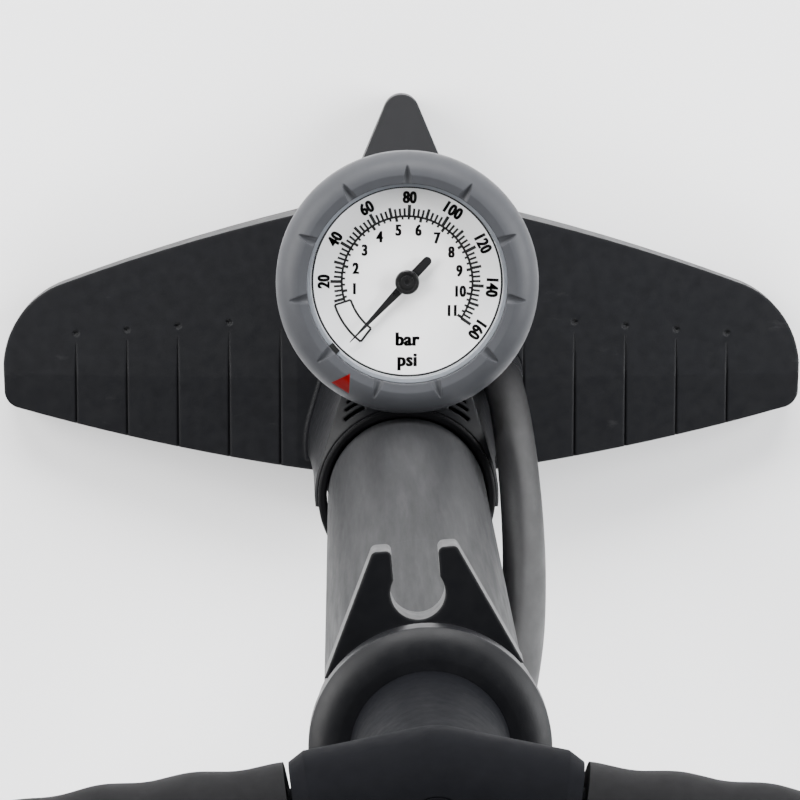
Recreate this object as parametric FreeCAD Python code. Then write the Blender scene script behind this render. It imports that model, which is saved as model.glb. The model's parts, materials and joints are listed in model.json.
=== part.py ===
import FreeCAD, Part
import math
import os

# Floor bike pump. Millimetres, +Z up, origin on the barrel's axis at floor level.
# +Y points to the gauge and the front foot, and +X to the side where the hose leaves the base.

os.makedirs("parts", exist_ok=True)
Vec = FreeCAD.Vector
UP = Vec(0, 0, 1)
ALONG_X = Vec(1, 0, 0)
ALONG_Y = Vec(0, 1, 0)
ORIGIN = Vec(0, 0, 0)

# ---------------------------------------------------------------- driving dimensions
# Clearances
SEAT = 0.05          # between pieces that are assembled and stay put
RUN = 0.06           # radial clearance of a running fit
APART = 0.30         # between pieces of different bodies that don't bear on each other
FACE_GAP = 0.15      # between stacked flat pieces that stay put
CUT = 1.0            # how far a cutting tool passes a face

# Sizes that many pieces share
BARREL_R = 20.9
CASE_R = 31.0        # gauge case
BOURDON_R = 17.4
ROD_R = 6.0
HOSE_R = 5.3
BEZEL_R = CASE_R + 3.5
GAUGE_Y = BARREL_R + BEZEL_R + 2.2
STEM_Y = GAUGE_Y - BOURDON_R    # the gauge's stem, under the tube's fixed end

# Base moulding
BASE_SPAN = 229.2    # over the wing tips
BASE_LIFT = 3.0      # underside of the moulding above the floor
BASE_WALL = 3.0
DECK_Z = 28.0        # flat top around the tower
WING_TIP_Z = 12.0    # top of the wing at its tip
WING_REAR_DROP = 3.0 # fall of the wing from its crease to the trailing edge
CREASE_Y = 19.0
FRONT_FOOT_Y = 99.4
FRONT_FOOT_TIP_R = 5.2
FRONT_FOOT_TIP_Z = 12.0
FRONT_FOOT_ROOT_X = 17.5
FRONT_FOOT_ROOT_Y = 66.0
HUB_R = BARREL_R + 3.6
HUB_Z = 38.0
RIB_T = 2.0
GROOVE_FIRST_X = 34.8
GROOVE_PITCH = 14.7
GROOVE_DEPTH = 1.0
GROOVE_HALF_W = 0.8
TIP_MARGIN = 20.0    # no groove nearer to the wing tip than this
DIMPLE_R = 0.9
PAD_H = 5.0
TIP_PAD_R = 6.0
FRONT_PAD_R = 4.0
HUB_PAD_R = 17.0
PAD_TIP_INSET_X = 10.6
PAD_TIP_Y = 20.5
FRONT_PAD_INSET_Y = 9.2

# Barrel
BARREL_WALL = 1.4
BARREL_LENGTH = 530.0
BARREL_Z0 = 16.0

# Valve block in the barrel's lower end
BLOCK_FLANGE_R = BARREL_R + 1.6
BLOCK_FLANGE_T = 7.0
BLOCK_PLUG_H = 16.0
SEAL_RING_W = 2.4
CHAMBER_R = 5.0
VALVE_SEAT_R = 2.6
VALVE_SEAT_T = 5.0
POPPET_R = 4.2
POPPET_T = 2.0
POPPET_STEM_R = 1.4
POPPET_TRAVEL = 1.5
SPRING_WIRE_R = 0.35
SPRING_COIL_R = 2.6
SPRING_TURNS = 5
RETAINER_T = 3.0
AIR_HOLE_R = 1.8

# Air path
MANIFOLD_W = 11.0
MANIFOLD_Z0 = 7.0
MANIFOLD_Z1 = 19.0
PIPE_X = 0.0
PIPE_Y = HUB_R + 8.5
PIPE_R = 2.6
GLAND_R = HOSE_R + 1.0
GLAND_TOP_Z = 50.0

# Tower in front of the barrel: each level is a hull of a rear and a front circle
TOWER_LEVELS = (     # height, rear radius, front circle's Y, front circle's radius
    (DECK_Z, BARREL_R + 6.1, STEM_Y + 5.8, 14.0),
    (60.0, BARREL_R + 4.7, STEM_Y + 0.8, 11.0),
    (100.0, BARREL_R + 4.0, STEM_Y + 1.8, 10.0),
    (146.6, BARREL_R + 3.5, GAUGE_Y - 5.6, 8.6),
)
TOWER_WALL = 3.0
TOWER_ROOF_T = 6.0
SADDLE_GAP = 0.7
TOWER_REAR_Y = -3.0
SHOULDER_SLOPE_DEG = 36.0
SHOULDER_SLITS = (   # inner radius about the barrel, width, first and last direction from +X
    (BARREL_R + 4.5, 0.85, 50.5, 64.5),
    (BARREL_R + 6.3, 0.7, 54.0, 62.5),
    (BARREL_R + 7.8, 0.5, 57.0, 60.0),
)
SLIT_DEPTH = 1.6
TOWER_SCREWS = ((-10.0, PIPE_Y - 0.5), (10.0, PIPE_Y - 0.5), (0.0, PIPE_Y + 17.0))
SCREW_R = 1.6
SCREW_HEAD_R = 3.0
SCREW_HEAD_T = 2.4
SCREW_LENGTH = 12.0
BOSS_R = 3.6

# Collar ring
COLLAR_R = BARREL_R + 2.6
COLLAR_H = 12.0
COLLAR_TOP_Z = 150.0

# Gauge
CASE_Z0 = 133.0
CASE_WALL = 2.0
CASE_FLOOR = 3.0
CASE_STEP_Z = 151.0
CASE_RIM_R = CASE_R - 3.4
CASE_TOP_Z = 161.0
LENS_SEAT_R = CASE_RIM_R - 1.2
DIAL_Z = 154.0       # the dial plate's face
DIAL_T = 0.8
DIAL_LEDGE_R = LENS_SEAT_R - 2.4
SPACER_R = LENS_SEAT_R - 1.1
LENS_T = 2.2
BEZEL_RIDGE_R = CASE_RIM_R + 1.0
BEZEL_LIP_R = CASE_RIM_R - 1.3
BEZEL_RIDGE_H = 2.3
BEZEL_LIP_T = 1.5
NOTCHES = 11
NOTCH_INNER_R = BEZEL_LIP_R
NOTCH_OUTER_R = BEZEL_R - 2.7
NOTCH_HALF_W = 1.5
MARKER_R = BEZEL_R - 3.5
MARKER_SIDE = 5.5
MARKER_T = 0.8
NEEDLE_LENGTH = 21.9
NEEDLE_TAIL = 7.6
NEEDLE_HALF_W = 1.25
NEEDLE_TAIL_R = 1.15
NEEDLE_T = 0.5
NEEDLE_LIFT = 1.6    # needle above the dial's face
NEEDLE_CAP_R = 3.2
NEEDLE_CAP_T = 1.3
NEEDLE_REST_DEG = 226.5
ARBOR_R = 0.8
PINION_TEETH = 10
SECTOR_TEETH_FULL = 100
GEAR_MODULE = 0.25
GEAR_T = 1.2
GEAR_Z = 144.2
SECTOR_ARC_DEG = 44.0
BOURDON_W = 2.2
BOURDON_H = 6.0
BOURDON_Z = 140.0
SOCKET_SIZE = 9.0
STEM_R = 4.0
PANEL_NUT_AF = 11.0

# Top cap
CAP_SKIRT_R = BARREL_R + 2.1
CAP_SKIRT_H = 16.0
CAP_FLANGE_R = BARREL_R + 2.9
CAP_FLANGE_H = 6.0
CAP_CROWN_R = BARREL_R - 3.0
CAP_TOP_T = 8.0      # cap above the barrel's end
CAP_PLUG_H = 5.0
FORK_T = 11.0
FORK_ROOT_X = CAP_SKIRT_R - 3.4
FORK_TIP_X = HOSE_R + 3.0
FORK_MOUTH = 2.0 * HOSE_R - 1.4
FORK_SEAT_R = HOSE_R + 0.1
FRONT_FORK_TURN_DEG = 4.5
FRONT_FORK_Y = BARREL_R + 8.4
FORK_REACH = 8.6     # prong tip beyond the seat's centre
BUSH_R = ROD_R + 3.0
BUSH_FLANGE_R = ROD_R + 6.0
BUSH_FLANGE_T = 3.0
WIPER_H = 4.0

# Rod, piston and handle
ROD_BORE_R = ROD_R - 1.4
ROD_SOLID_TOP = 27.0
NUT_R = ROD_R + 2.5
NUT_T = 5.0
PISTON_LIFT = 2.0    # piston nut above the valve block at rest
PISTON_CLEAR = 0.3
PISTON_H = 14.0
PISTON_RING_W = 3.0
COLLET_R = ROD_R + 3.0
COLLET_T = 4.0
BUFFER_R = ROD_R + 4.5
BUFFER_H = 8.0
TOP_PLAY = 2.0       # buffer below the bush at full stroke
HANDLE_HUB_R = BARREL_R - 5.2
HANDLE_NECK_R = 14.0
HANDLE_AXIS_H = 68.0 # bar's axis above the cap
HANDLE_BOSS_R = 16.0
HANDLE_BOSS_HALF = 25.0
HANDLE_SWEEP_DEG = 10.0
HANDLE_CORE_R = 9.0
GRIP_LENGTH = 84.0
GRIP_END_R = 13.6
GRIP_BELLY_R = 15.4
GRIP_RIDGES = 5
END_CAP_T = 6.0
END_CAP_R = 15.6
HANDLE_SCREW_R = 3.0
HANDLE_SCREW_HEAD_R = 5.4
HANDLE_SCREW_HEAD_T = 4.0

# Hose and valve head
HOSE_WAY = (         # direction from +X about the barrel, gap between hose and barrel, share of the rise
    (37.5, 9.1, 0.0),
    (37.5, 9.1, 0.085),
    (26.5, 5.9, 0.2),
    (11.0, 2.75, 0.333),
    (-10.4, 1.55, 0.455),
    (-32.6, 2.75, 0.575),
    (-54.0, 4.2, 0.7),
    (-75.2, 5.2, 0.81),
    (-90.0, 6.3, 0.92),
    (-90.0, 6.3, 1.0),
)
FERRULE_R = HOSE_R + 1.1
FERRULE_H = 15.0
HEAD_R = 9.5
HEAD_H = 41.0
NOZZLE_R = 8.0
NOZZLE_RISE = 24.0   # nozzle's axis above the head's lower end
NOZZLE_REACH = 22.0
HEAD_CAP_R = 9.6
HEAD_CAP_L = 10.0
CHUCK_R = 4.0
GASKET_R = 6.2
LEVER_PIN_R = 1.5
LEVER_PIN_X = 12.4
LEVER_PIN_RISE = 30.0
LEVER_HUB_R = 4.4
LEVER_W = 9.0
LEVER_T = 3.6
LEVER_LENGTH = 40.0
EAR_T = 2.4

# ---------------------------------------------------------------- derived places
BARREL_IN_R = BARREL_R - BARREL_WALL
BARREL_Z1 = BARREL_Z0 + BARREL_LENGTH
TIP_X = BASE_SPAN / 2.0
FLANGE_Z0 = BARREL_Z0 - BLOCK_FLANGE_T
BLOCK_TOP_Z = BARREL_Z0 + BLOCK_PLUG_H
CHAMBER_TOP_Z = BLOCK_TOP_Z - VALVE_SEAT_T
AIR_Z = FLANGE_Z0 + BLOCK_FLANGE_T / 2.0
COLLAR_Z0 = COLLAR_TOP_Z - COLLAR_H
TOWER_TOP_Z = TOWER_LEVELS[-1][0]
LENS_Z0 = CASE_TOP_Z - LENS_T
BEZEL_Z0 = CASE_STEP_Z + APART
BEZEL_LIP_Z0 = CASE_TOP_Z + APART
BEZEL_TOP_Z = CASE_TOP_Z + BEZEL_RIDGE_H
NEEDLE_Z0 = DIAL_Z + NEEDLE_LIFT
CAP_Z0 = BARREL_Z1 - CAP_SKIRT_H
CAP_Z1 = BARREL_Z1 + CAP_TOP_T
BUSH_Z0 = BARREL_Z1 - CAP_PLUG_H - BUSH_FLANGE_T
NUT_Z0 = BLOCK_TOP_Z + PISTON_LIFT
PISTON_Z0 = NUT_Z0 + NUT_T + APART
PISTON_Z1 = PISTON_Z0 + PISTON_H
COLLET_Z0 = PISTON_Z1 + APART
BUFFER_Z0 = COLLET_Z0 + COLLET_T
BUFFER_Z1 = BUFFER_Z0 + BUFFER_H
PUMP_STROKE = BUSH_Z0 - BUFFER_Z1 - TOP_PLAY
HANDLE_Z0 = CAP_Z1 + APART
HANDLE_AXIS_Z = CAP_Z1 + HANDLE_AXIS_H
ROD_TOP_Z = HANDLE_AXIS_Z - 8.0
HANDLE_TOP_Z = HANDLE_AXIS_Z + HANDLE_BOSS_R
HOSE_END_Z = BARREL_Z1 - 1.0
HEAD_Z0 = HOSE_END_Z + FERRULE_H
NOZZLE_Z = HEAD_Z0 + NOZZLE_RISE
LEVER_PIN_Z = HEAD_Z0 + LEVER_PIN_RISE


def hose_point(deg, gap, share):
    """A place on the hose's centreline from its direction, its gap to the barrel and its share of the rise."""
    reach = BARREL_R + gap + HOSE_R
    turn = math.radians(deg)
    return Vec(reach * math.cos(turn), reach * math.sin(turn), GLAND_TOP_Z + share * (HOSE_END_Z - GLAND_TOP_Z))


# Out of the gland, up the barrel's side and round to its back, where the valve head is docked.
HOSE_POINTS = [hose_point(*step) for step in HOSE_WAY]
GLAND_X, GLAND_Y = HOSE_POINTS[0].x, HOSE_POINTS[0].y
HEAD_Y = HOSE_POINTS[-1].y


# ---------------------------------------------------------------- helpers
def cyl(radius, z0, z1, x=0.0, y=0.0):
    return Part.makeCylinder(radius, z1 - z0, Vec(x, y, z0))


def ring(outer, inner, z0, z1, x=0.0, y=0.0):
    return cyl(outer, z0, z1, x, y).cut(cyl(inner, z0 - CUT, z1 + CUT, x, y))


def box(x0, x1, y0, y1, z0, z1):
    return Part.makeBox(x1 - x0, y1 - y0, z1 - z0, Vec(x0, y0, z0))


def rod_x(radius, x0, x1, y, z):
    return Part.makeCylinder(radius, x1 - x0, Vec(x0, y, z), ALONG_X)


def rod_y(radius, y0, y1, x, z):
    return Part.makeCylinder(radius, y1 - y0, Vec(x, y0, z), ALONG_Y)


def line(p, q):
    return Part.LineSegment(p, q).toShape()


def arc(p, q, r):
    return Part.Arc(p, q, r).toShape()


def polygon_prism(points, z0, z1):
    loop = Part.makePolygon([Vec(x, y, z0) for x, y in points] + [Vec(points[0][0], points[0][1], z0)])
    return Part.Face(loop).extrude(UP * (z1 - z0))


def revolved(profile, x=0.0, y=0.0):
    """Solid turned about the vertical axis through (x, y) from a list of (radius, z) points."""
    loop = [Vec(r, 0, z) for r, z in profile]
    face = Part.Face(Part.makePolygon(loop + [loop[0]]))
    solid = face.revolve(ORIGIN, UP, 360)
    solid.translate(Vec(x, y, 0))
    return solid


def hexagon(across_flats, z0, z1, x=0.0, y=0.0):
    corner = across_flats / math.sqrt(3)
    points = [(x + corner * math.cos(math.radians(60 * i)), y + corner * math.sin(math.radians(60 * i)))
              for i in range(6)]
    return polygon_prism(points, z0, z1)


def fuse(shapes):
    whole = shapes[0]
    for shape in shapes[1:]:
        whole = whole.fuse(shape)
    return whole.removeSplitter()


def mirrored_x(shape):
    return shape.mirror(ORIGIN, ALONG_X)


def edges_where(shape, test):
    return [edge for edge in shape.Edges if test(edge)]


def save(name, shape):
    if not shape.isValid():
        raise ValueError(name + " is not a valid shape")
    solids = shape.Solids
    if not solids:
        raise ValueError(name + " holds no solid")
    whole = solids[0] if len(solids) == 1 else Part.makeCompound(solids)
    whole.exportStep("parts/" + name + ".step")
    print(name, len(solids), round(sum(s.Volume for s in solids) / 1000.0, 3), "cm3")


def hull_wire(rear_r, front_y, front_r, z):
    """Outline round a circle at the origin and a smaller one in front of it."""
    lean = math.asin((rear_r - front_r) / front_y)
    cos, sin = math.cos(lean), math.sin(lean)
    rear_right = Vec(rear_r * cos, rear_r * sin, z)
    front_right = Vec(front_r * cos, front_y + front_r * sin, z)
    rear_left = Vec(-rear_right.x, rear_right.y, z)
    front_left = Vec(-front_right.x, front_right.y, z)
    return Part.Wire([
        line(rear_right, front_right),
        arc(front_right, Vec(0, front_y + front_r, z), front_left),
        line(front_left, rear_left),
        arc(rear_left, Vec(0, -rear_r, z), rear_right),
    ])


def hull_prism(rear_r, front_y, front_r, z0, z1):
    return Part.Face(hull_wire(rear_r, front_y, front_r, z0)).extrude(UP * (z1 - z0))


def rounded_path(points):
    """Straight runs joined by tangent arcs, each as large as its two runs allow."""
    share = 0.45
    edges = []
    radii = []
    start = points[0]
    for before, corner, after in zip(points, points[1:], points[2:]):
        back = before - corner
        ahead = after - corner
        setback = share * min(back.Length, ahead.Length)
        half_turn = (math.pi - back.getAngle(ahead)) / 2.0
        radius = setback / math.tan(half_turn)
        back.normalize()
        ahead.normalize()
        inward = back + ahead
        inward.normalize()
        enter = corner + back * setback
        leave = corner + ahead * setback
        middle = corner + inward * (radius / math.cos(half_turn) - radius)
        edges.append(line(start, enter))
        edges.append(arc(enter, middle, leave))
        radii.append(radius)
        start = leave
    edges.append(line(start, points[-1]))
    return Part.Wire(edges), radii


def swept_tube(name, points, radius):
    path, radii = rounded_path(points)
    profile = Part.Wire(Part.makeCircle(radius, points[0], points[1] - points[0]))
    tube = path.makePipeShell([profile], True, False)
    section = math.pi * radius * radius
    print(name, "length", round(path.Length, 1), "radii", [round(r) for r in radii],
          "volume ratio", round(tube.Volume / (section * path.Length), 4))
    return tube


# ---------------------------------------------------------------- base
def wing_outline(z):
    """Right wing in plan, closed along the centre line."""
    root_front = Vec(0, 72.5, z)
    lead_mid = Vec(TIP_X - 56.0, 58.3, z)
    lead_end = Vec(TIP_X - 17.5, 45.4, z)
    tip_mid = Vec(TIP_X - 5.4, 36.6, z)
    side_top = Vec(TIP_X, 22.0, z)
    side_low = Vec(TIP_X - 0.2, 14.4, z)
    corner_mid = Vec(TIP_X - 1.4, 10.9, z)
    trail_end = Vec(TIP_X - 4.6, 9.1, z)
    trail_mid = Vec(TIP_X - 49.0, -1.1, z)
    trail_root = Vec(20.0, -8.2, z)
    rear = Vec(0, -8.2, z)
    return Part.Wire([
        line(rear, root_front),
        arc(root_front, lead_mid, lead_end),
        arc(lead_end, tip_mid, side_top),
        line(side_top, side_low),
        arc(side_low, corner_mid, trail_end),
        arc(trail_end, trail_mid, trail_root),
        line(trail_root, rear),
    ])


def wing_roof(drop):
    """Everything below the right wing's top skin, lowered by drop."""
    sections = []
    for x, top in ((-1.0, DECK_Z), (30.0, DECK_Z - 1.5), (TIP_X + 4.0, WING_TIP_Z)):
        high = top - drop
        low = high - WING_REAR_DROP
        loop = [Vec(x, -14.0, -CUT), Vec(x, -14.0, low), Vec(x, CREASE_Y, high), Vec(x, 90.0, high),
                Vec(x, 90.0, -CUT)]
        sections.append(Part.makePolygon(loop + [loop[0]]))
    return Part.makeLoft(sections, True, True)


def groove_columns():
    count = int((TIP_X - TIP_MARGIN - GROOVE_FIRST_X) / GROOVE_PITCH) + 1
    return [GROOVE_FIRST_X + i * GROOVE_PITCH for i in range(count)]


def dimple_y(x):
    return 39.2 - 0.0865 * x


def wing_top_z(x, y):
    slope = (DECK_Z - 1.5 - WING_TIP_Z) / (TIP_X + 4.0 - 30.0)
    top = DECK_Z - 1.5 - slope * (x - 30.0)
    return top - WING_REAR_DROP * max(0.0, (CREASE_Y - y) / (CREASE_Y + 14.0))


def wing_groove(x):
    """V cut that widens to the trailing edge, with a step on its tip side."""
    start = dimple_y(x) - 3.0
    top_here = wing_top_z(x, start)
    rear_z = wing_top_z(x, -14.0)
    narrow = 0.25
    front = Part.makePolygon([Vec(x - narrow, start, top_here + CUT), Vec(x + narrow, start, top_here + CUT),
                              Vec(x, start, top_here - 0.3), Vec(x - narrow, start, top_here + CUT)])
    crease_z = wing_top_z(x, CREASE_Y)
    middle = Part.makePolygon([Vec(x - 0.6, CREASE_Y, crease_z + CUT), Vec(x + 0.6, CREASE_Y, crease_z + CUT),
                               Vec(x, CREASE_Y, crease_z - 0.8), Vec(x - 0.6, CREASE_Y, crease_z + CUT)])
    rear = Part.makePolygon([Vec(x - GROOVE_HALF_W, -14.0, rear_z + CUT),
                             Vec(x + GROOVE_HALF_W, -14.0, rear_z + CUT),
                             Vec(x, -14.0, rear_z - GROOVE_DEPTH),
                             Vec(x - GROOVE_HALF_W, -14.0, rear_z + CUT)])
    return Part.makeLoft([front, middle, rear], True, True)


def right_wing():
    solid = Part.Face(wing_outline(BASE_LIFT)).extrude(UP * DECK_Z).common(wing_roof(0.0))
    for x in groove_columns():
        solid = solid.cut(wing_groove(x))
        y = dimple_y(x)
        if x > GROOVE_FIRST_X:
            solid = solid.cut(Part.makeSphere(DIMPLE_R, Vec(x, y, wing_top_z(x, y) + 0.2)))
    return solid


def wing_cavity():
    """Open underside of the right wing, between its ribs and clear of the pad boss."""
    outline = wing_outline(0.0).makeOffset2D(-BASE_WALL)
    cavity = Part.Face(outline).extrude(UP * DECK_Z).common(wing_roof(BASE_WALL))
    cavity = cavity.cut(cyl(TIP_PAD_R + 1.6, -CUT, DECK_Z, TIP_X - PAD_TIP_INSET_X, PAD_TIP_Y))
    for x in groove_columns()[1::2]:
        cavity = cavity.cut(box(x - RIB_T / 2, x + RIB_T / 2, -20.0, 80.0, -CUT, DECK_Z))
    return cavity.cut(cyl(HUB_R, -CUT, DECK_Z + CUT))


def front_foot_outline(z, inset=0.0):
    tip_y = FRONT_FOOT_Y - inset
    tip_r = FRONT_FOOT_TIP_R - inset * 0.5
    root_x = FRONT_FOOT_ROOT_X - inset
    centre_y = tip_y - tip_r
    lean = math.atan2(root_x - tip_r, centre_y - FRONT_FOOT_ROOT_Y)
    side = Vec(tip_r * math.cos(lean), centre_y + tip_r * math.sin(lean), z)
    other = Vec(-side.x, side.y, z)
    root = Vec(root_x, FRONT_FOOT_ROOT_Y, z)
    root_left = Vec(-root_x, FRONT_FOOT_ROOT_Y, z)
    back = Vec(root_x, 40.0, z)
    back_left = Vec(-root_x, 40.0, z)
    return Part.Wire([
        line(back, root),
        line(root, side),
        arc(side, Vec(0, tip_y, z), other),
        line(other, root_left),
        line(root_left, back_left),
        line(back_left, back),
    ])


def front_foot_roof(drop):
    high = DECK_Z - drop
    loop = [Vec(-40, 30, -CUT), Vec(-40, 30, high), Vec(-40, 62, high),
            Vec(-40, FRONT_FOOT_Y + 1, FRONT_FOOT_TIP_Z - drop), Vec(-40, FRONT_FOOT_Y + 1, -CUT)]
    return Part.Face(Part.makePolygon(loop + [loop[0]])).extrude(ALONG_X * 80.0)


def front_foot():
    return Part.Face(front_foot_outline(BASE_LIFT)).extrude(UP * DECK_Z).common(front_foot_roof(0.0))


def front_foot_cavity():
    cavity = Part.Face(front_foot_outline(0.0, BASE_WALL)).extrude(UP * DECK_Z)
    cavity = cavity.common(front_foot_roof(BASE_WALL))
    cavity = cavity.common(box(-40.0, 40.0, 62.0, 120.0, -CUT, DECK_Z))
    return cavity.cut(cyl(FRONT_PAD_R + 1.6, -CUT, DECK_Z, 0.0, FRONT_FOOT_Y - FRONT_PAD_INSET_Y))


def pad_places():
    return {
        "left_foot_pad": (-(TIP_X - PAD_TIP_INSET_X), PAD_TIP_Y, TIP_PAD_R),
        "right_foot_pad": (TIP_X - PAD_TIP_INSET_X, PAD_TIP_Y, TIP_PAD_R),
        "front_foot_pad": (0.0, FRONT_FOOT_Y - FRONT_PAD_INSET_Y, FRONT_PAD_R),
        "hub_foot_pad": (0.0, 0.0, HUB_PAD_R),
    }


def foot_pad(x, y, radius):
    pad = cyl(radius, 0.0, PAD_H, x, y)
    return pad.makeChamfer(0.6, edges_where(pad, lambda e: e.BoundBox.ZMax < 0.01))


def plinth(margin, z0, z1):
    """Deck block below the tower, its outline grown from the tower's foot by margin."""
    rear_r, front_y, front_r = TOWER_LEVELS[0][1:]
    block = hull_prism(rear_r + margin, front_y, front_r + margin, z0, z1)
    return block.common(box(-60.0, 60.0, TOWER_REAR_Y - 1.5, 90.0, z0, z1))


def plinth_cavity():
    """Room under the deck for the manifold and the screw heads."""
    cavity = plinth(1.0 - BASE_WALL, 0.0, DECK_Z - BASE_WALL)
    return cavity.cut(cyl(HUB_R, -CUT, DECK_Z + CUT))


def toe_fillet():
    """Concave blend in plan between the front foot's side and the right wing's leading edge."""
    foot_side = Vec(13.2, 76.2, BASE_LIFT)
    wing_side = Vec(25.4, 67.0, BASE_LIFT)
    inner = Vec(8.0, 62.0, BASE_LIFT)
    face = Part.Face(Part.Wire([
        arc(foot_side, Vec(17.2, 70.4, BASE_LIFT), wing_side),
        line(wing_side, inner),
        line(inner, foot_side),
    ]))
    return face.extrude(UP * DECK_Z).common(front_foot_roof(0.0))


def make_base():
    wing = right_wing().fuse(toe_fillet())
    body = fuse([wing, mirrored_x(wing), front_foot(), plinth(1.0, BASE_LIFT, DECK_Z),
                 cyl(HUB_R, BASE_LIFT, HUB_Z)])
    cavity = wing_cavity()
    for hollow in (cavity, mirrored_x(cavity), front_foot_cavity(), plinth_cavity()):
        body = body.cut(hollow)
    body = body.cut(cyl(BLOCK_FLANGE_R + SEAT, FLANGE_Z0 - SEAT, BARREL_Z0))
    body = body.cut(cyl(BARREL_R + SEAT, BARREL_Z0 - CUT, HUB_Z + CUT))
    body = body.cut(rod_y(AIR_HOLE_R + 1.3, 20.0, 30.0, 0.0, AIR_Z))
    body = body.cut(cyl(GLAND_R + SEAT, 0.0, DECK_Z + CUT, GLAND_X, GLAND_Y))
    body = body.cut(cyl(PIPE_R + 1.0, 0.0, DECK_Z + CUT, PIPE_X, PIPE_Y))
    for x, y, radius in pad_places().values():
        body = body.cut(cyl(radius + SEAT, 0.0, PAD_H + SEAT, x, y))
    for x, y in TOWER_SCREWS:
        body = body.cut(cyl(SCREW_R + SEAT, 0.0, DECK_Z + CUT, x, y))
    return body


# ---------------------------------------------------------------- tower and collar
def tower_loft(inset):
    """The tower's waisted outline through all its levels, drawn in by inset."""
    wires = [hull_wire(rear_r - inset, front_y, front_r - inset, z)
             for z, rear_r, front_y, front_r in TOWER_LEVELS]
    return Part.makeLoft(wires, True, False)


def make_tower():
    outer = tower_loft(0.0)
    roof_z = CASE_Z0 - TOWER_ROOF_T
    hollow = tower_loft(TOWER_WALL).common(box(-60.0, 60.0, -60.0, 100.0, 0.0, roof_z))
    saddle_r = BARREL_R + SADDLE_GAP
    hollow = hollow.cut(cyl(saddle_r + TOWER_WALL, 0.0, roof_z + CUT))
    boss_top = DECK_Z + SCREW_LENGTH + 2.0
    for x, y in TOWER_SCREWS:
        hollow = hollow.cut(cyl(BOSS_R, 0.0, boss_top, x, y)).cut(boss_web(x, y, boss_top))
    body = outer.cut(hollow)
    body = body.cut(cyl(saddle_r, 0.0, TOWER_TOP_Z + CUT))
    body = body.cut(cyl(HUB_R + SEAT, 0.0, HUB_Z + SEAT))
    body = body.cut(cyl(COLLAR_R + SEAT, COLLAR_Z0 - SEAT, TOWER_TOP_Z + CUT))
    body = body.cut(cyl(CASE_R + SEAT, CASE_Z0 - SEAT, TOWER_TOP_Z + CUT, 0.0, GAUGE_Y))
    body = body.cut(box(-60.0, 60.0, -60.0, TOWER_REAR_Y, 0.0, 200.0))
    body = body.cut(cyl(GLAND_R + APART, 0.0, GLAND_TOP_Z + CUT, GLAND_X, GLAND_Y))
    body = body.cut(cyl(STEM_R + SEAT, roof_z - CUT, CASE_Z0 + CUT, 0.0, STEM_Y))
    for x, y in TOWER_SCREWS:
        body = body.cut(cyl(SCREW_R, 0.0, DECK_Z + SCREW_LENGTH, x, y))
    body = body.cut(above_shoulder(0.0))
    for side in (-1, 1):
        for slit in SHOULDER_SLITS:
            body = body.cut(shoulder_slit(side, *slit))
    return body


def above_shoulder(drop):
    """Space over the shoulder, which slopes down and away from the collar's edge."""
    reach = 30.0
    fall = reach * math.tan(math.radians(SHOULDER_SLOPE_DEG))
    z = TOWER_TOP_Z - drop
    return revolved([(COLLAR_R, z), (COLLAR_R + reach, z - fall), (COLLAR_R + reach, z + reach),
                     (COLLAR_R, z + reach)])


def boss_web(x, y, top):
    """Rib that ties a screw boss to the nearest outer wall."""
    reach = 30.0
    half = RIB_T / 2.0
    if x == 0.0:
        return box(-half, half, y, y + reach, 0.0, top)
    return box(min(x, x * reach), max(x, x * reach), y - half, y + half, 0.0, top)


def shoulder_slit(side, radius, width, start_deg, end_deg):
    """Slit in the shoulder, on a circle round the barrel."""
    slit = ring(radius + width, radius, TOWER_TOP_Z - 12.0, TOWER_TOP_Z + CUT).common(above_shoulder(SLIT_DEPTH))
    reach = 60.0
    wedge = [(0.0, 0.0)]
    for deg in (start_deg, end_deg):
        wedge.append((side * reach * math.cos(math.radians(deg)), reach * math.sin(math.radians(deg))))
    return slit.common(polygon_prism(wedge, TOWER_TOP_Z - 15.0, TOWER_TOP_Z + 10.0))


def make_tower_screws():
    screws = []
    for x, y in TOWER_SCREWS:
        head_top = DECK_Z - BASE_WALL
        shank = cyl(SCREW_R, head_top, DECK_Z + SCREW_LENGTH - 1.0, x, y)
        screws.append(shank.fuse(cyl(SCREW_HEAD_R, head_top - SCREW_HEAD_T, head_top, x, y)))
    return Part.makeCompound(screws)


def make_collar():
    body = ring(COLLAR_R, BARREL_R + 0.3, COLLAR_Z0, COLLAR_TOP_Z)
    rims = edges_where(body, lambda e: e.BoundBox.ZMin > COLLAR_TOP_Z - 0.01)
    return body.makeFillet(0.8, rims)


# ---------------------------------------------------------------- barrel and valve block
def make_barrel():
    return ring(BARREL_R, BARREL_IN_R, BARREL_Z0, BARREL_Z1)


def seal_groove_z():
    return BARREL_Z0 + BLOCK_PLUG_H * 0.6


def make_valve_block():
    plug_r = BARREL_IN_R - SEAT
    body = fuse([cyl(BLOCK_FLANGE_R, FLANGE_Z0, BARREL_Z0), cyl(plug_r, FLANGE_Z0, BLOCK_TOP_Z)])
    body = body.cut(cyl(CHAMBER_R, FLANGE_Z0 - CUT, CHAMBER_TOP_Z))
    body = body.cut(cyl(VALVE_SEAT_R, CHAMBER_TOP_Z - CUT, BLOCK_TOP_Z + CUT))
    body = body.cut(rod_y(AIR_HOLE_R, 0.0, BLOCK_FLANGE_R + CUT, 0.0, AIR_Z))
    groove_z = seal_groove_z()
    return body.cut(ring(plug_r + CUT, plug_r - SEAL_RING_W, groove_z, groove_z + SEAL_RING_W))


def make_block_seal():
    groove_z = seal_groove_z()
    outer = BARREL_IN_R
    return ring(outer, BARREL_IN_R - SEAT - SEAL_RING_W, groove_z, groove_z + SEAL_RING_W)


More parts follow.
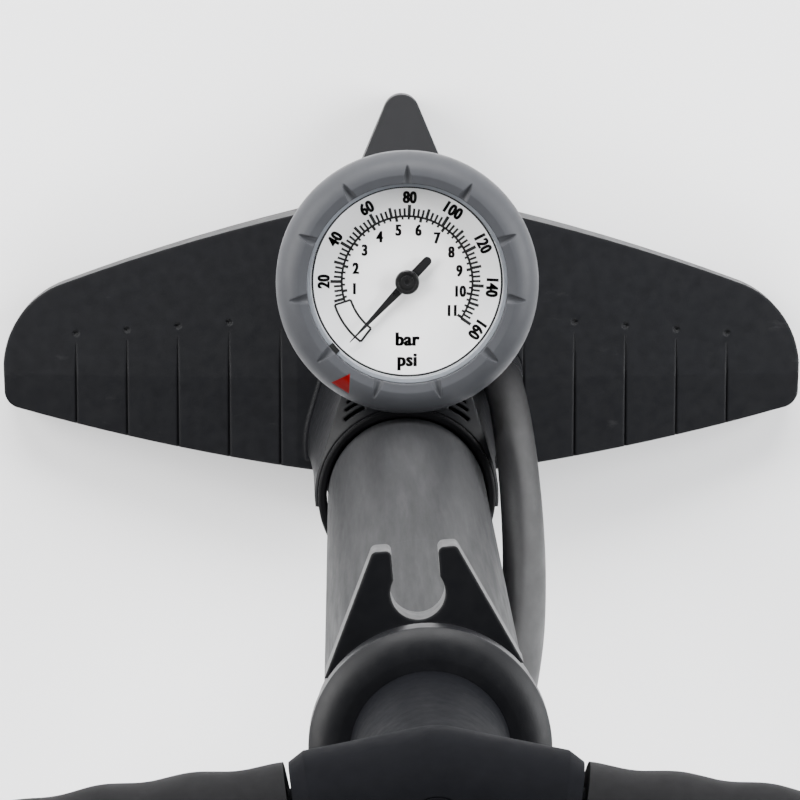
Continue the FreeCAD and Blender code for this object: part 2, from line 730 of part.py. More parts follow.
def make_poppet():
    stem_end = FLANGE_Z0 + RETAINER_T + POPPET_TRAVEL + APART
    head = cyl(POPPET_R, CHAMBER_TOP_Z - POPPET_T, CHAMBER_TOP_Z)
    return head.fuse(cyl(POPPET_STEM_R, stem_end, CHAMBER_TOP_Z - POPPET_T))


def make_retainer():
    plug = cyl(CHAMBER_R, FLANGE_Z0, FLANGE_Z0 + RETAINER_T)
    for deg in (0, 90, 180, 270):
        x = 3.0 * math.cos(math.radians(deg))
        y = 3.0 * math.sin(math.radians(deg))
        plug = plug.cut(cyl(0.7, FLANGE_Z0 + 1.2, FLANGE_Z0 + RETAINER_T + CUT, x, y))
    return plug


def make_spring():
    z0 = FLANGE_Z0 + RETAINER_T + SPRING_WIRE_R
    z1 = CHAMBER_TOP_Z - POPPET_T - SPRING_WIRE_R
    height = z1 - z0
    helix = Part.makeHelix(height / SPRING_TURNS, height, SPRING_COIL_R)
    start = Vec(SPRING_COIL_R, 0, 0)
    profile = Part.Wire(Part.makeCircle(SPRING_WIRE_R, start, ALONG_Y))
    coil = Part.Wire(helix).makePipeShell([profile], True, True)
    coil.translate(Vec(0, 0, z0))
    return coil


# ---------------------------------------------------------------- air path
def make_manifold():
    """Bar from the pipe's port to the gland's port, with a spigot into the valve block's flange."""
    run = Vec(GLAND_X - PIPE_X, GLAND_Y - PIPE_Y, 0)
    angle = math.degrees(math.atan2(run.y, run.x))
    half = MANIFOLD_W / 2.0
    bar = box(-half, run.Length + half, -half, half, MANIFOLD_Z0, MANIFOLD_Z1)
    bar.rotate(ORIGIN, UP, angle)
    bar.translate(Vec(PIPE_X, PIPE_Y, 0))
    pipe_boss = cyl(half - 0.5, MANIFOLD_Z0, DECK_Z - BASE_WALL - 1.0, PIPE_X, PIPE_Y)
    gland_boss = cyl(half - 0.5, MANIFOLD_Z0, MANIFOLD_Z1 + 2.0, GLAND_X, GLAND_Y)
    spigot = rod_y(AIR_HOLE_R + 1.2, BLOCK_FLANGE_R + 0.2, PIPE_Y, 0.0, AIR_Z)
    body = fuse([bar, pipe_boss, gland_boss, spigot])
    body = body.cut(cyl(HUB_R + SEAT, MANIFOLD_Z0 - CUT, DECK_Z).cut(rod_y(AIR_HOLE_R + 1.3, 0, 40.0, 0, AIR_Z)))
    body = body.cut(rod_y(AIR_HOLE_R, 0.0, PIPE_Y, 0.0, AIR_Z))
    bore = Part.makeCylinder(AIR_HOLE_R, run.Length, Vec(PIPE_X, PIPE_Y, AIR_Z), run)
    body = body.cut(bore)
    body = body.cut(cyl(AIR_HOLE_R, AIR_Z, MANIFOLD_Z1 + CUT, PIPE_X, PIPE_Y))
    body = body.cut(cyl(PIPE_R, MANIFOLD_Z1 - 2.0, DECK_Z, PIPE_X, PIPE_Y))
    return body.cut(cyl(3.0, AIR_Z, DECK_Z, GLAND_X, GLAND_Y))


def make_gauge_pipe():
    top = CASE_Z0 - TOWER_ROOF_T - 9.0
    middle = (DECK_Z + top) / 2.0
    points = [Vec(PIPE_X, PIPE_Y, MANIFOLD_Z1 - 2.0), Vec(PIPE_X, PIPE_Y, middle),
              Vec(PIPE_X, STEM_Y, middle + 30.0), Vec(PIPE_X, STEM_Y, top)]
    return swept_tube("gauge_pipe", points, PIPE_R)


def make_gland():
    """Threaded nipple that tapers up round the hose's end."""
    foot = cyl(3.0, MANIFOLD_Z1 - 2.0, MANIFOLD_Z1 + 2.0, GLAND_X, GLAND_Y)
    body = cyl(GLAND_R, MANIFOLD_Z1 + 2.0, DECK_Z + 2.0, GLAND_X, GLAND_Y)
    nut = hexagon(math.sqrt(3) * GLAND_R, DECK_Z + 0.2, DECK_Z + 6.0, GLAND_X, GLAND_Y)
    sleeve = Part.makeCone(GLAND_R - 0.2, HOSE_R + 0.35, GLAND_TOP_Z - DECK_Z - 6.0,
                           Vec(GLAND_X, GLAND_Y, DECK_Z + 6.0))
    return fuse([foot, body, nut, sleeve])


# ---------------------------------------------------------------- gauge
def make_gauge_case():
    in_r = CASE_R - CASE_WALL
    floor_z = CASE_Z0 + CASE_FLOOR
    ledge_z = DIAL_Z - DIAL_T
    profile = [
        (0.0, CASE_Z0), (CASE_R - 2.0, CASE_Z0), (CASE_R, CASE_Z0 + 2.0), (CASE_R, CASE_STEP_Z),
        (CASE_RIM_R, CASE_STEP_Z), (CASE_RIM_R, CASE_TOP_Z), (LENS_SEAT_R, CASE_TOP_Z),
        (LENS_SEAT_R, ledge_z), (DIAL_LEDGE_R, ledge_z), (DIAL_LEDGE_R, ledge_z - 2.5),
        (in_r, ledge_z - 5.0), (in_r, floor_z), (0.0, floor_z),
    ]
    body = revolved(profile, 0.0, GAUGE_Y)
    return body.cut(cyl(STEM_R + SEAT, CASE_Z0 - CUT, floor_z + CUT, 0.0, STEM_Y))


def make_gauge_socket():
    half = SOCKET_SIZE / 2.0
    floor_z = CASE_Z0 + CASE_FLOOR
    block = box(-half, half, STEM_Y - half, STEM_Y + half, floor_z, BOURDON_Z + BOURDON_H)
    stem_z = CASE_Z0 - TOWER_ROOF_T - 9.0
    body = block.fuse(cyl(STEM_R, stem_z, floor_z, 0.0, STEM_Y))
    body = body.cut(make_bourdon())
    return body.cut(cyl(AIR_HOLE_R, stem_z - CUT, BOURDON_Z, 0.0, STEM_Y))


def make_panel_nut():
    z1 = CASE_Z0 - TOWER_ROOF_T
    nut = hexagon(PANEL_NUT_AF, z1 - 5.0, z1, 0.0, STEM_Y)
    return nut.cut(cyl(STEM_R, z1 - 6.0, z1 + CUT, 0.0, STEM_Y))


def make_bourdon():
    """Flat tube bent round the movement through three quarters of a turn."""
    loop = ring(BOURDON_R + BOURDON_W / 2, BOURDON_R - BOURDON_W / 2, BOURDON_Z, BOURDON_Z + BOURDON_H,
                0.0, GAUGE_Y)
    gap = box(-40.0, 0.0, GAUGE_Y - 40.0, GAUGE_Y, BOURDON_Z - CUT, BOURDON_Z + BOURDON_H + CUT)
    return loop.cut(gap)


def gear_teeth(teeth_full, radius, first, last, phase_deg):
    """Wedge teeth of a gear about the origin, from tooth number first to last."""
    pitch_deg = 360.0 / teeth_full
    root = radius - 1.1 * GEAR_MODULE
    tip = radius + 0.8 * GEAR_MODULE
    shapes = []
    for number in range(first, last + 1):
        middle = phase_deg + number * pitch_deg
        points = []
        for r, share in ((root - 0.2, 0.30), (tip, 0.12)):
            half = math.radians(pitch_deg * share)
            centre = math.radians(middle)
            points.append((r * math.cos(centre - half), r * math.sin(centre - half)))
            points.append((r * math.cos(centre + half), r * math.sin(centre + half)))
        shapes.append(polygon_prism([points[0], points[2], points[3], points[1]], 0.0, GEAR_T))
    return shapes


def make_arbor():
    pinion_r = PINION_TEETH * GEAR_MODULE / 2.0
    body = cyl(ARBOR_R, BOURDON_Z - 1.0, NEEDLE_Z0 + NEEDLE_T)
    core = cyl(pinion_r - 1.1 * GEAR_MODULE, GEAR_Z, GEAR_Z + GEAR_T)
    teeth = gear_teeth(PINION_TEETH, pinion_r, 0, PINION_TEETH - 1, 180.0)
    for tooth in teeth:
        tooth.translate(Vec(0, 0, GEAR_Z))
    body = fuse([body, core] + teeth)
    body.translate(Vec(0, GAUGE_Y, 0))
    return body


def sector_centre():
    spacing = GEAR_MODULE * (PINION_TEETH + SECTOR_TEETH_FULL) / 2.0
    return Vec(-spacing, GAUGE_Y, 0)


def make_sector():
    """Toothed quadrant on its own shaft; at rest its travel is still ahead of it."""
    sector_r = SECTOR_TEETH_FULL * GEAR_MODULE / 2.0
    pitch_deg = 360.0 / SECTOR_TEETH_FULL
    half_teeth = int(SECTOR_ARC_DEG / pitch_deg / 2.0)
    shift = -int(SECTOR_ARC_DEG * 0.27 / pitch_deg)
    rim_r = sector_r - 1.1 * GEAR_MODULE
    wedge_half = half_teeth * pitch_deg
    middle = shift * pitch_deg
    points = [(0.0, 0.0)]
    for deg in (middle - wedge_half, middle, middle + wedge_half):
        points.append((2 * rim_r * math.cos(math.radians(deg)), 2 * rim_r * math.sin(math.radians(deg))))
    plate = cyl(rim_r, 0.0, GEAR_T).common(polygon_prism(points, 0.0, GEAR_T))
    teeth = gear_teeth(SECTOR_TEETH_FULL, sector_r, shift - half_teeth + 1, shift + half_teeth - 1, pitch_deg / 2)
    shaft = cyl(ARBOR_R, BOURDON_Z - 1.0 - GEAR_Z, BOURDON_Z + BOURDON_H + 3.0 - GEAR_Z)
    body = fuse([plate, cyl(1.8, 0.0, GEAR_T), shaft] + teeth)
    body.translate(sector_centre() + UP * GEAR_Z)
    return body


def make_movement_frame():
    """Two plates with pillars that hold both gear shafts."""
    pivot = sector_centre()
    parts = []
    for z0 in (BOURDON_Z - 1.5, BOURDON_Z + BOURDON_H + 1.5):
        parts.append(box(pivot.x - 1.8, 3.5, GAUGE_Y - 2.5, GAUGE_Y + 3.6, z0, z0 + 1.0))
    for x, y in ((pivot.x - 0.6, GAUGE_Y + 2.9), (2.8, GAUGE_Y)):
        parts.append(box(x - 0.6, x + 0.6, y - 0.6, y + 0.6, BOURDON_Z - 1.0, BOURDON_Z + BOURDON_H + 2.0))
    foot = box(-4.0, 3.5, GAUGE_Y - 2.5, GAUGE_Y + 2.5, CASE_Z0 + CASE_FLOOR, BOURDON_Z - 1.2)
    body = fuse(parts + [foot])
    for place in (pivot, Vec(0, GAUGE_Y, 0)):
        body = body.cut(cyl(ARBOR_R + RUN, BOURDON_Z - 1.6, 160.0, place.x, place.y))
    return body


def make_dial():
    plate = cyl(LENS_SEAT_R - SEAT, DIAL_Z - DIAL_T, DIAL_Z, 0.0, GAUGE_Y)
    return plate.cut(cyl(ARBOR_R + 0.5, DIAL_Z - 2.0, DIAL_Z + CUT, 0.0, GAUGE_Y))


def make_spacer():
    """Pale ring that keeps the lens off the dial."""
    return ring(LENS_SEAT_R - SEAT, SPACER_R, DIAL_Z, LENS_Z0 - FACE_GAP, 0.0, GAUGE_Y)


def make_lens():
    body = cyl(LENS_SEAT_R - SEAT, LENS_Z0, CASE_TOP_Z, 0.0, GAUGE_Y)
    return body.makeChamfer(0.4, edges_where(body, lambda e: e.BoundBox.ZMin > CASE_TOP_Z - 0.01))


def make_needle():
    shape = [
        polygon_prism([(0.0, -NEEDLE_HALF_W), (NEEDLE_LENGTH, -0.12), (NEEDLE_LENGTH, 0.12),
                       (0.0, NEEDLE_HALF_W)], 0.0, NEEDLE_T),
        polygon_prism([(0.0, NEEDLE_HALF_W), (-NEEDLE_TAIL, NEEDLE_TAIL_R), (-NEEDLE_TAIL, -NEEDLE_TAIL_R),
                       (0.0, -NEEDLE_HALF_W)], 0.0, NEEDLE_T),
        cyl(NEEDLE_TAIL_R, 0.0, NEEDLE_T, -NEEDLE_TAIL, 0.0),
        cyl(NEEDLE_CAP_R - 0.3, 0.0, NEEDLE_T),
    ]
    body = fuse(shape).cut(cyl(ARBOR_R, -CUT, CUT))
    body.rotate(ORIGIN, UP, NEEDLE_REST_DEG)
    body.translate(Vec(0, GAUGE_Y, NEEDLE_Z0))
    return body


def make_needle_cap():
    z0 = NEEDLE_Z0 + NEEDLE_T
    body = cyl(NEEDLE_CAP_R, z0, z0 + NEEDLE_CAP_T, 0.0, GAUGE_Y)
    top = edges_where(body, lambda e: e.BoundBox.ZMin > z0 + NEEDLE_CAP_T - 0.01)
    body = body.makeFillet(0.4, top)
    body = body.cut(ring(2.3, 1.75, z0 + NEEDLE_CAP_T - 0.3, 200.0, 0.0, GAUGE_Y))
    return body.cut(cyl(0.7, z0 + NEEDLE_CAP_T - 0.4, 200.0, 0.0, GAUGE_Y))


def bezel_blank():
    """Bezel before its notches: sloped inner face, ridge, domed outer face, plain skirt."""
    bore = CASE_RIM_R + RUN
    lip_top = BEZEL_LIP_Z0 + BEZEL_LIP_T
    ridge = Vec(BEZEL_RIDGE_R, 0, BEZEL_TOP_Z)
    shoulder = Vec(BEZEL_R - 1.6, 0, BEZEL_TOP_Z - 2.4)
    rim = Vec(BEZEL_R, 0, BEZEL_TOP_Z - 5.8)
    points = [Vec(BEZEL_R, 0, BEZEL_Z0 + 1.4), Vec(BEZEL_R - 1.4, 0, BEZEL_Z0), Vec(bore, 0, BEZEL_Z0),
              Vec(bore, 0, BEZEL_LIP_Z0), Vec(BEZEL_LIP_R, 0, BEZEL_LIP_Z0), Vec(BEZEL_LIP_R, 0, lip_top)]
    edges = [arc(ridge, shoulder, rim), line(rim, points[0])]
    edges += [line(p, q) for p, q in zip(points, points[1:])]
    edges.append(line(points[-1], ridge))
    body = Part.Face(Part.Wire(edges)).revolve(ORIGIN, UP, 360)
    body.translate(Vec(0, GAUGE_Y, 0))
    return body


def bezel_notch(deg):
    """Teardrop scoop across the ridge, wide inside and pointed outside."""
    length = NOTCH_OUTER_R - NOTCH_INNER_R
    fall = -1.1
    axis = Vec(length, 0, fall)
    cone = Part.makeCone(NOTCH_HALF_W, 0.15, axis.Length, Vec(NOTCH_INNER_R, 0, BEZEL_TOP_Z + 0.25), axis)
    cone.rotate(ORIGIN, UP, deg)
    cone.translate(Vec(0, GAUGE_Y, 0))
    return cone


def marker_prism():
    """Triangle set in the bezel that points at the dial's centre, half a notch from its neighbours."""
    reach = MARKER_SIDE / math.sqrt(3)
    deg = 90.0 + 360.0 / NOTCHES * 4.5
    points = []
    for corner in (180.0, 300.0, 60.0):
        points.append((MARKER_R + reach * math.cos(math.radians(corner)), reach * math.sin(math.radians(corner))))
    prism = polygon_prism(points, BEZEL_TOP_Z - 6.0, BEZEL_TOP_Z + CUT)
    prism.rotate(ORIGIN, UP, deg)
    prism.translate(Vec(0, GAUGE_Y, 0))
    return prism


def marker_floor():
    """The bezel's blank lowered by the marker's thickness."""
    lowered = bezel_blank()
    lowered.translate(Vec(0, 0, -MARKER_T))
    return lowered


def make_bezel():
    body = bezel_blank()
    for number in range(NOTCHES):
        body = body.cut(bezel_notch(90.0 + number * 360.0 / NOTCHES))
    return body.cut(marker_prism().cut(marker_floor()))


def make_marker():
    return bezel_blank().common(marker_prism()).cut(marker_floor())


# ---------------------------------------------------------------- top cap
def hose_fork(seat_y, seat_r):
    """Snap fork in front of the cap: two prongs round an open round seat."""
    tip_y = seat_y + FORK_REACH
    root_y = CAP_SKIRT_R * 0.6
    half_mouth = FORK_MOUTH / 2.0
    body = polygon_prism([(-FORK_ROOT_X, root_y), (FORK_ROOT_X, root_y), (FORK_TIP_X, tip_y),
                          (-FORK_TIP_X, tip_y)], CAP_Z0, CAP_Z0 + FORK_T)
    body = body.cut(cyl(seat_r, CAP_Z0 - CUT, CAP_Z0 + FORK_T + CUT, 0.0, seat_y))
    body = body.cut(box(-half_mouth, half_mouth, seat_y, tip_y + CUT, CAP_Z0 - CUT, CAP_Z0 + FORK_T + CUT))
    tips = edges_where(body, lambda e: e.BoundBox.YMin > tip_y - 0.01 and e.BoundBox.ZLength > 1.0)
    return body.makeFillet(1.2, tips)


def make_top_cap():
    skirt = cyl(CAP_SKIRT_R, CAP_Z0, BARREL_Z1)
    flange_z0 = BARREL_Z1 - 1.0
    flange_top = flange_z0 + CAP_FLANGE_H
    crown = Vec(CAP_CROWN_R, 0, CAP_Z1)
    edges = [
        line(Vec(0, 0, flange_z0 - 2.0), Vec(CAP_SKIRT_R, 0, flange_z0 - 2.0)),
        line(Vec(CAP_SKIRT_R, 0, flange_z0 - 2.0), Vec(CAP_FLANGE_R, 0, flange_z0)),
        line(Vec(CAP_FLANGE_R, 0, flange_z0), Vec(CAP_FLANGE_R, 0, flange_top)),
        arc(Vec(CAP_FLANGE_R, 0, flange_top), Vec(CAP_FLANGE_R - 2.4, 0, CAP_Z1 - 1.0), crown),
        line(crown, Vec(0, 0, CAP_Z1)),
        line(Vec(0, 0, CAP_Z1), Vec(0, 0, flange_z0 - 2.0)),
    ]
    head = Part.Face(Part.Wire(edges)).revolve(ORIGIN, UP, 360)
    rear_fork = hose_fork(-HEAD_Y, FORK_SEAT_R)
    rear_fork.rotate(ORIGIN, UP, 180)
    front_fork = hose_fork(FRONT_FORK_Y, FORK_SEAT_R)
    front_fork.rotate(ORIGIN, UP, FRONT_FORK_TURN_DEG)
    body = fuse([skirt, head, front_fork, rear_fork])
    plug_z0 = BARREL_Z1 - CAP_PLUG_H
    body = body.cut(cyl(BARREL_R + SEAT, CAP_Z0 - CUT, plug_z0))
    body = body.cut(ring(BARREL_R + SEAT, BARREL_IN_R - SEAT, plug_z0 - CUT, BARREL_Z1 + SEAT))
    body = body.cut(cyl(BUSH_R + SEAT, plug_z0 - CUT, CAP_Z1 - 1.0))
    return body.cut(cyl(ROD_R + 0.6, CAP_Z1 - 2.0, CAP_Z1 + CUT))


def make_rod_bush():
    top = CAP_Z1 - 1.0 - WIPER_H
    flange = cyl(BUSH_FLANGE_R, BUSH_Z0, BUSH_Z0 + BUSH_FLANGE_T)
    body = flange.fuse(cyl(BUSH_R, BUSH_Z0, top))
    return body.cut(cyl(ROD_R + RUN, BUSH_Z0 - CUT, top + CUT))


def make_rod_wiper():
    top = CAP_Z1 - 1.0
    return ring(BUSH_R, ROD_R + RUN, top - WIPER_H, top)


# ---------------------------------------------------------------- rod, piston and handle
def make_piston_rod():
    body = cyl(ROD_R, NUT_Z0, ROD_TOP_Z)
    body = body.cut(cyl(ROD_BORE_R, NUT_Z0 - CUT, ROD_TOP_Z - ROD_SOLID_TOP))
    return body.cut(cyl(HANDLE_SCREW_R, ROD_TOP_Z - ROD_SOLID_TOP + 8.0, ROD_TOP_Z + CUT))


def make_piston_nut():
    nut = hexagon(2 * NUT_R, NUT_Z0, NUT_Z0 + NUT_T)
    return nut.cut(cyl(ROD_R, NUT_Z0 - CUT, NUT_Z0 + NUT_T + CUT))


def piston_groove():
    middle = (PISTON_Z0 + PISTON_Z1) / 2.0
    return middle - PISTON_RING_W / 2, middle + PISTON_RING_W / 2


def make_piston_disc():
    outer = BARREL_IN_R - PISTON_CLEAR
    body = ring(outer, ROD_R + RUN, PISTON_Z0, PISTON_Z1)
    low, high = piston_groove()
    return body.cut(ring(outer + CUT, outer - PISTON_RING_W, low, high))


def make_piston_seal():
    low, high = piston_groove()
    return ring(BARREL_IN_R - RUN, BARREL_IN_R - PISTON_CLEAR - PISTON_RING_W, low, high)


def make_rod_collar():
    return ring(COLLET_R, ROD_R, COLLET_Z0, BUFFER_Z0)


def make_buffer():
    body = ring(BUFFER_R, ROD_R, BUFFER_Z0, BUFFER_Z1)
    return body.makeFillet(1.2, edges_where(body, lambda e: e.BoundBox.ZMin > BUFFER_Z1 - 0.01
                                            and e.BoundBox.XMax > ROD_R + 1))


def arm_axis(side):
    lean = math.radians(HANDLE_SWEEP_DEG)
    return Vec(side * math.cos(lean), -math.sin(lean), 0)


def on_arm(profile, side):
    """Solid turned about an arm from (distance, radius) points, profile closed along the axis."""
    loop = [Vec(radius, 0, distance) for distance, radius in profile]
    face = Part.Face(Part.makePolygon(loop + [loop[0]]))
    body = face.revolve(ORIGIN, UP, 360)
    axis = arm_axis(side)
    body.Placement = FreeCAD.Placement(Vec(0, 0, HANDLE_AXIS_Z), FreeCAD.Rotation(UP, axis))
    return body


def grip_start():
    return HANDLE_BOSS_HALF + 1.0


def grip_end():
    return grip_start() + GRIP_LENGTH


def make_handle_core():
    hub = Part.makeCone(HANDLE_HUB_R, HANDLE_NECK_R, HANDLE_AXIS_H - APART, Vec(0, 0, HANDLE_Z0))
    parts = [hub, Part.makeSphere(HANDLE_BOSS_R, Vec(0, 0, HANDLE_AXIS_Z))]
    for side in (-1, 1):
        half = HANDLE_BOSS_HALF
        parts.append(on_arm([(0.0, 0.0), (0.0, HANDLE_BOSS_R), (half - 3.0, HANDLE_BOSS_R - 0.6),
                             (half, HANDLE_BOSS_R - 2.2), (half, 0.0)], side))
        parts.append(on_arm([(0.0, 0.0), (0.0, HANDLE_CORE_R), (grip_end(), HANDLE_CORE_R),
                             (grip_end(), 0.0)], side))
    body = fuse(parts)
    body = body.cut(cyl(ROD_R, HANDLE_Z0 - CUT, ROD_TOP_Z))
    body = body.cut(cyl(HANDLE_SCREW_R + SEAT, ROD_TOP_Z - CUT, HANDLE_TOP_Z + CUT))
    return body.cut(cyl(HANDLE_SCREW_HEAD_R + SEAT, HANDLE_AXIS_Z + 2.0, HANDLE_TOP_Z + CUT))


def make_grip(side):
    """Rubber sleeve with a belly and finger ridges."""
    start, end = grip_start(), grip_end()
    steps = GRIP_RIDGES * 8
    profile = [(start, HANDLE_CORE_R)]
    for number in range(steps + 1):
        share = number / steps
        belly = math.sin(math.pi * share) * (GRIP_BELLY_R - GRIP_END_R)
        ridge = 0.35 * math.cos(2 * math.pi * GRIP_RIDGES * share)
        profile.append((start + share * GRIP_LENGTH, GRIP_END_R + belly + ridge))
    profile.append((end, HANDLE_CORE_R))
    loop = [Vec(radius, 0, distance) for distance, radius in profile]
    spline = Part.BSplineCurve()
    spline.interpolate(loop[1:-1])
    edges = [line(loop[0], loop[1]), spline.toShape(), line(loop[-2], loop[-1]), line(loop[-1], loop[0])]
    body = Part.Face(Part.Wire(edges)).revolve(ORIGIN, UP, 360)
    body.Placement = FreeCAD.Placement(Vec(0, 0, HANDLE_AXIS_Z), FreeCAD.Rotation(UP, arm_axis(side)))
    return body


def make_end_cap(side):
    end = grip_end()
    return on_arm([(end, 0.0), (end, END_CAP_R - 0.8), (end + 1.2, END_CAP_R), (end + END_CAP_T - 2.6, END_CAP_R),
                   (end + END_CAP_T - 0.8, END_CAP_R - 1.6), (end + END_CAP_T, END_CAP_R - 4.0),
                   (end + END_CAP_T, 0.0)], side)


def make_handle_screw():
    head_z = HANDLE_AXIS_Z + 2.0
    shank = cyl(HANDLE_SCREW_R, ROD_TOP_Z - ROD_SOLID_TOP + 10.0, head_z)
    head = cyl(HANDLE_SCREW_HEAD_R, head_z, head_z + HANDLE_SCREW_HEAD_T)
    key = hexagon(5.0, head_z + 1.4, head_z + HANDLE_SCREW_HEAD_T + CUT)
    return shank.fuse(head).cut(key)


def make_hub_cap():
    z0 = HANDLE_AXIS_Z + 2.0 + HANDLE_SCREW_HEAD_T + 2.0
    return cyl(HANDLE_SCREW_HEAD_R, z0, HANDLE_TOP_Z - 0.6)


# ---------------------------------------------------------------- hose and valve head
def make_hose():
    return swept_tube("hose", HOSE_POINTS, HOSE_R)


def make_ferrule():
    z0, z1 = HOSE_END_Z, HEAD_Z0
    body = cyl(FERRULE_R, z0, z1, 0.0, HEAD_Y)
    for z in (z0 + 4.0, z0 + 8.0, z0 + 12.0):
        body = body.cut(ring(FERRULE_R + CUT, FERRULE_R - 0.5, z - 0.6, z + 0.6, 0.0, HEAD_Y))
    return body


def make_head_body():
    z1 = HEAD_Z0 + HEAD_H
    body = cyl(HEAD_R, HEAD_Z0, z1, 0.0, HEAD_Y)
    body = body.makeFillet(2.0, edges_where(body, lambda e: e.BoundBox.ZMin > z1 - 0.01))
    nozzle = rod_x(NOZZLE_R, -NOZZLE_REACH, 0.0, HEAD_Y, NOZZLE_Z)
    ears = []
    for y in (HEAD_Y - LEVER_W / 2 - APART - EAR_T, HEAD_Y + LEVER_W / 2 + APART):
        ear = box(0.0, LEVER_PIN_X, y, y + EAR_T, LEVER_PIN_Z - LEVER_HUB_R, LEVER_PIN_Z + LEVER_HUB_R)
        ears.append(ear.fuse(rod_y(LEVER_HUB_R, y, y + EAR_T, LEVER_PIN_X, LEVER_PIN_Z)))
    body = fuse([body, nozzle] + ears)
    half = LEVER_W / 2 + APART
    body = body.cut(rod_y(LEVER_HUB_R + APART, HEAD_Y - half, HEAD_Y + half, LEVER_PIN_X, LEVER_PIN_Z))
    body = body.cut(rod_y(LEVER_PIN_R, HEAD_Y - 20.0, HEAD_Y + 20.0, LEVER_PIN_X, LEVER_PIN_Z))
    body = body.cut(rod_x(CHUCK_R, -NOZZLE_REACH - CUT, 2.0, HEAD_Y, NOZZLE_Z))
    body = body.cut(rod_x(GASKET_R, -NOZZLE_REACH - CUT, -NOZZLE_REACH + 7.0, HEAD_Y, NOZZLE_Z))
    return body.cut(cyl(AIR_HOLE_R, HEAD_Z0 - CUT, NOZZLE_Z, 0.0, HEAD_Y))


def make_head_gasket():
    body = rod_x(GASKET_R, -NOZZLE_REACH, -NOZZLE_REACH + 7.0, HEAD_Y, NOZZLE_Z)
    return body.cut(rod_x(CHUCK_R, -NOZZLE_REACH - CUT, 0.0, HEAD_Y, NOZZLE_Z))


def make_head_cap():
    """Knurled nut that holds the gasket in the nozzle."""
    end = -NOZZLE_REACH - 2.5
    body = rod_x(HEAD_CAP_R, end, end + HEAD_CAP_L, HEAD_Y, NOZZLE_Z)
    body = body.cut(rod_x(NOZZLE_R, -NOZZLE_REACH, 0.0, HEAD_Y, NOZZLE_Z))
    body = body.cut(rod_x(CHUCK_R, end - CUT, 0.0, HEAD_Y, NOZZLE_Z))
    flutes = 18
    for number in range(flutes):
        turn = 2 * math.pi * number / flutes
        y = HEAD_Y + (HEAD_CAP_R + 0.25) * math.cos(turn)
        z = NOZZLE_Z + (HEAD_CAP_R + 0.25) * math.sin(turn)
        body = body.cut(rod_x(0.8, end + 1.6, 0.0, y, z))
    return body


def make_lever():
    """Thumb lever that hangs down beside the head and flips outwards."""
    y0, y1 = HEAD_Y - LEVER_W / 2, HEAD_Y + LEVER_W / 2
    hub = rod_y(LEVER_HUB_R, y0, y1, LEVER_PIN_X, LEVER_PIN_Z)
    outer_x = LEVER_PIN_X + LEVER_HUB_R
    end_z = LEVER_PIN_Z - LEVER_LENGTH
    arm = box(outer_x - LEVER_T, outer_x, y0, y1, end_z, LEVER_PIN_Z)
    toe = rod_y(LEVER_T * 0.62, y0, y1, outer_x - LEVER_T * 0.38, end_z)
    body = fuse([hub, arm, toe])
    return body.cut(rod_y(LEVER_PIN_R + RUN, y0 - CUT, y1 + CUT, LEVER_PIN_X, LEVER_PIN_Z))


def make_lever_pin():
    half = LEVER_W / 2 + APART + EAR_T
    return rod_y(LEVER_PIN_R, HEAD_Y - half, HEAD_Y + half, LEVER_PIN_X, LEVER_PIN_Z)


# ---------------------------------------------------------------- write every node
NODES = {
    "base": make_base,
    "gauge_tower": make_tower,
    "tower_screws": make_tower_screws,
    "collar_ring": make_collar,
    "barrel": make_barrel,
    "valve_block": make_valve_block,
    "block_seal_ring": make_block_seal,
    "check_poppet": make_poppet,
    "check_spring": make_spring,
    "spring_retainer": make_retainer,
    "air_manifold": make_manifold,
    "gauge_pipe": make_gauge_pipe,
    "hose_gland": make_gland,
    "gauge_case": make_gauge_case,
    "gauge_socket": make_gauge_socket,
    "gauge_panel_nut": make_panel_nut,
    "bourdon_tube": make_bourdon,
    "movement_frame": make_movement_frame,
    "needle_arbor": make_arbor,
    "sector_gear": make_sector,
    "dial_plate": make_dial,
    "dial_spacer": make_spacer,
    "gauge_lens": make_lens,
    "needle": make_needle,
    "needle_cap": make_needle_cap,
    "bezel": make_bezel,
    "bezel_marker": make_marker,
    "top_cap": make_top_cap,
    "rod_bush": make_rod_bush,
    "rod_wiper": make_rod_wiper,
    "piston_rod": make_piston_rod,
    "piston_nut": make_piston_nut,
    "piston_disc": make_piston_disc,
    "piston_seal": make_piston_seal,
    "rod_collar": make_rod_collar,
    "rod_buffer": make_buffer,
    "handle_core": make_handle_core,
    "handle_screw": make_handle_screw,
    "hub_cap": make_hub_cap,
    "hose": make_hose,
    "hose_ferrule": make_ferrule,
    "head_body": make_head_body,
    "head_gasket": make_head_gasket,
    "head_cap": make_head_cap,
    "lever": make_lever,
    "lever_pin": make_lever_pin,
}

for node, maker in NODES.items():
    save(node, maker())
for node, place in pad_places().items():
    save(node, foot_pad(*place))
for node, side in (("left_grip", -1), ("right_grip", 1)):
    save(node, make_grip(side))
for node, side in (("left_end_cap", -1), ("right_end_cap", 1)):
    save(node, make_end_cap(side))
print("pump stroke", PUMP_STROKE, "lever pin", LEVER_PIN_X, HEAD_Y, LEVER_PIN_Z, "nozzle z", NOZZLE_Z)
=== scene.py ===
import json
import math

import bmesh
import bpy
from mathutils import Matrix, Vector


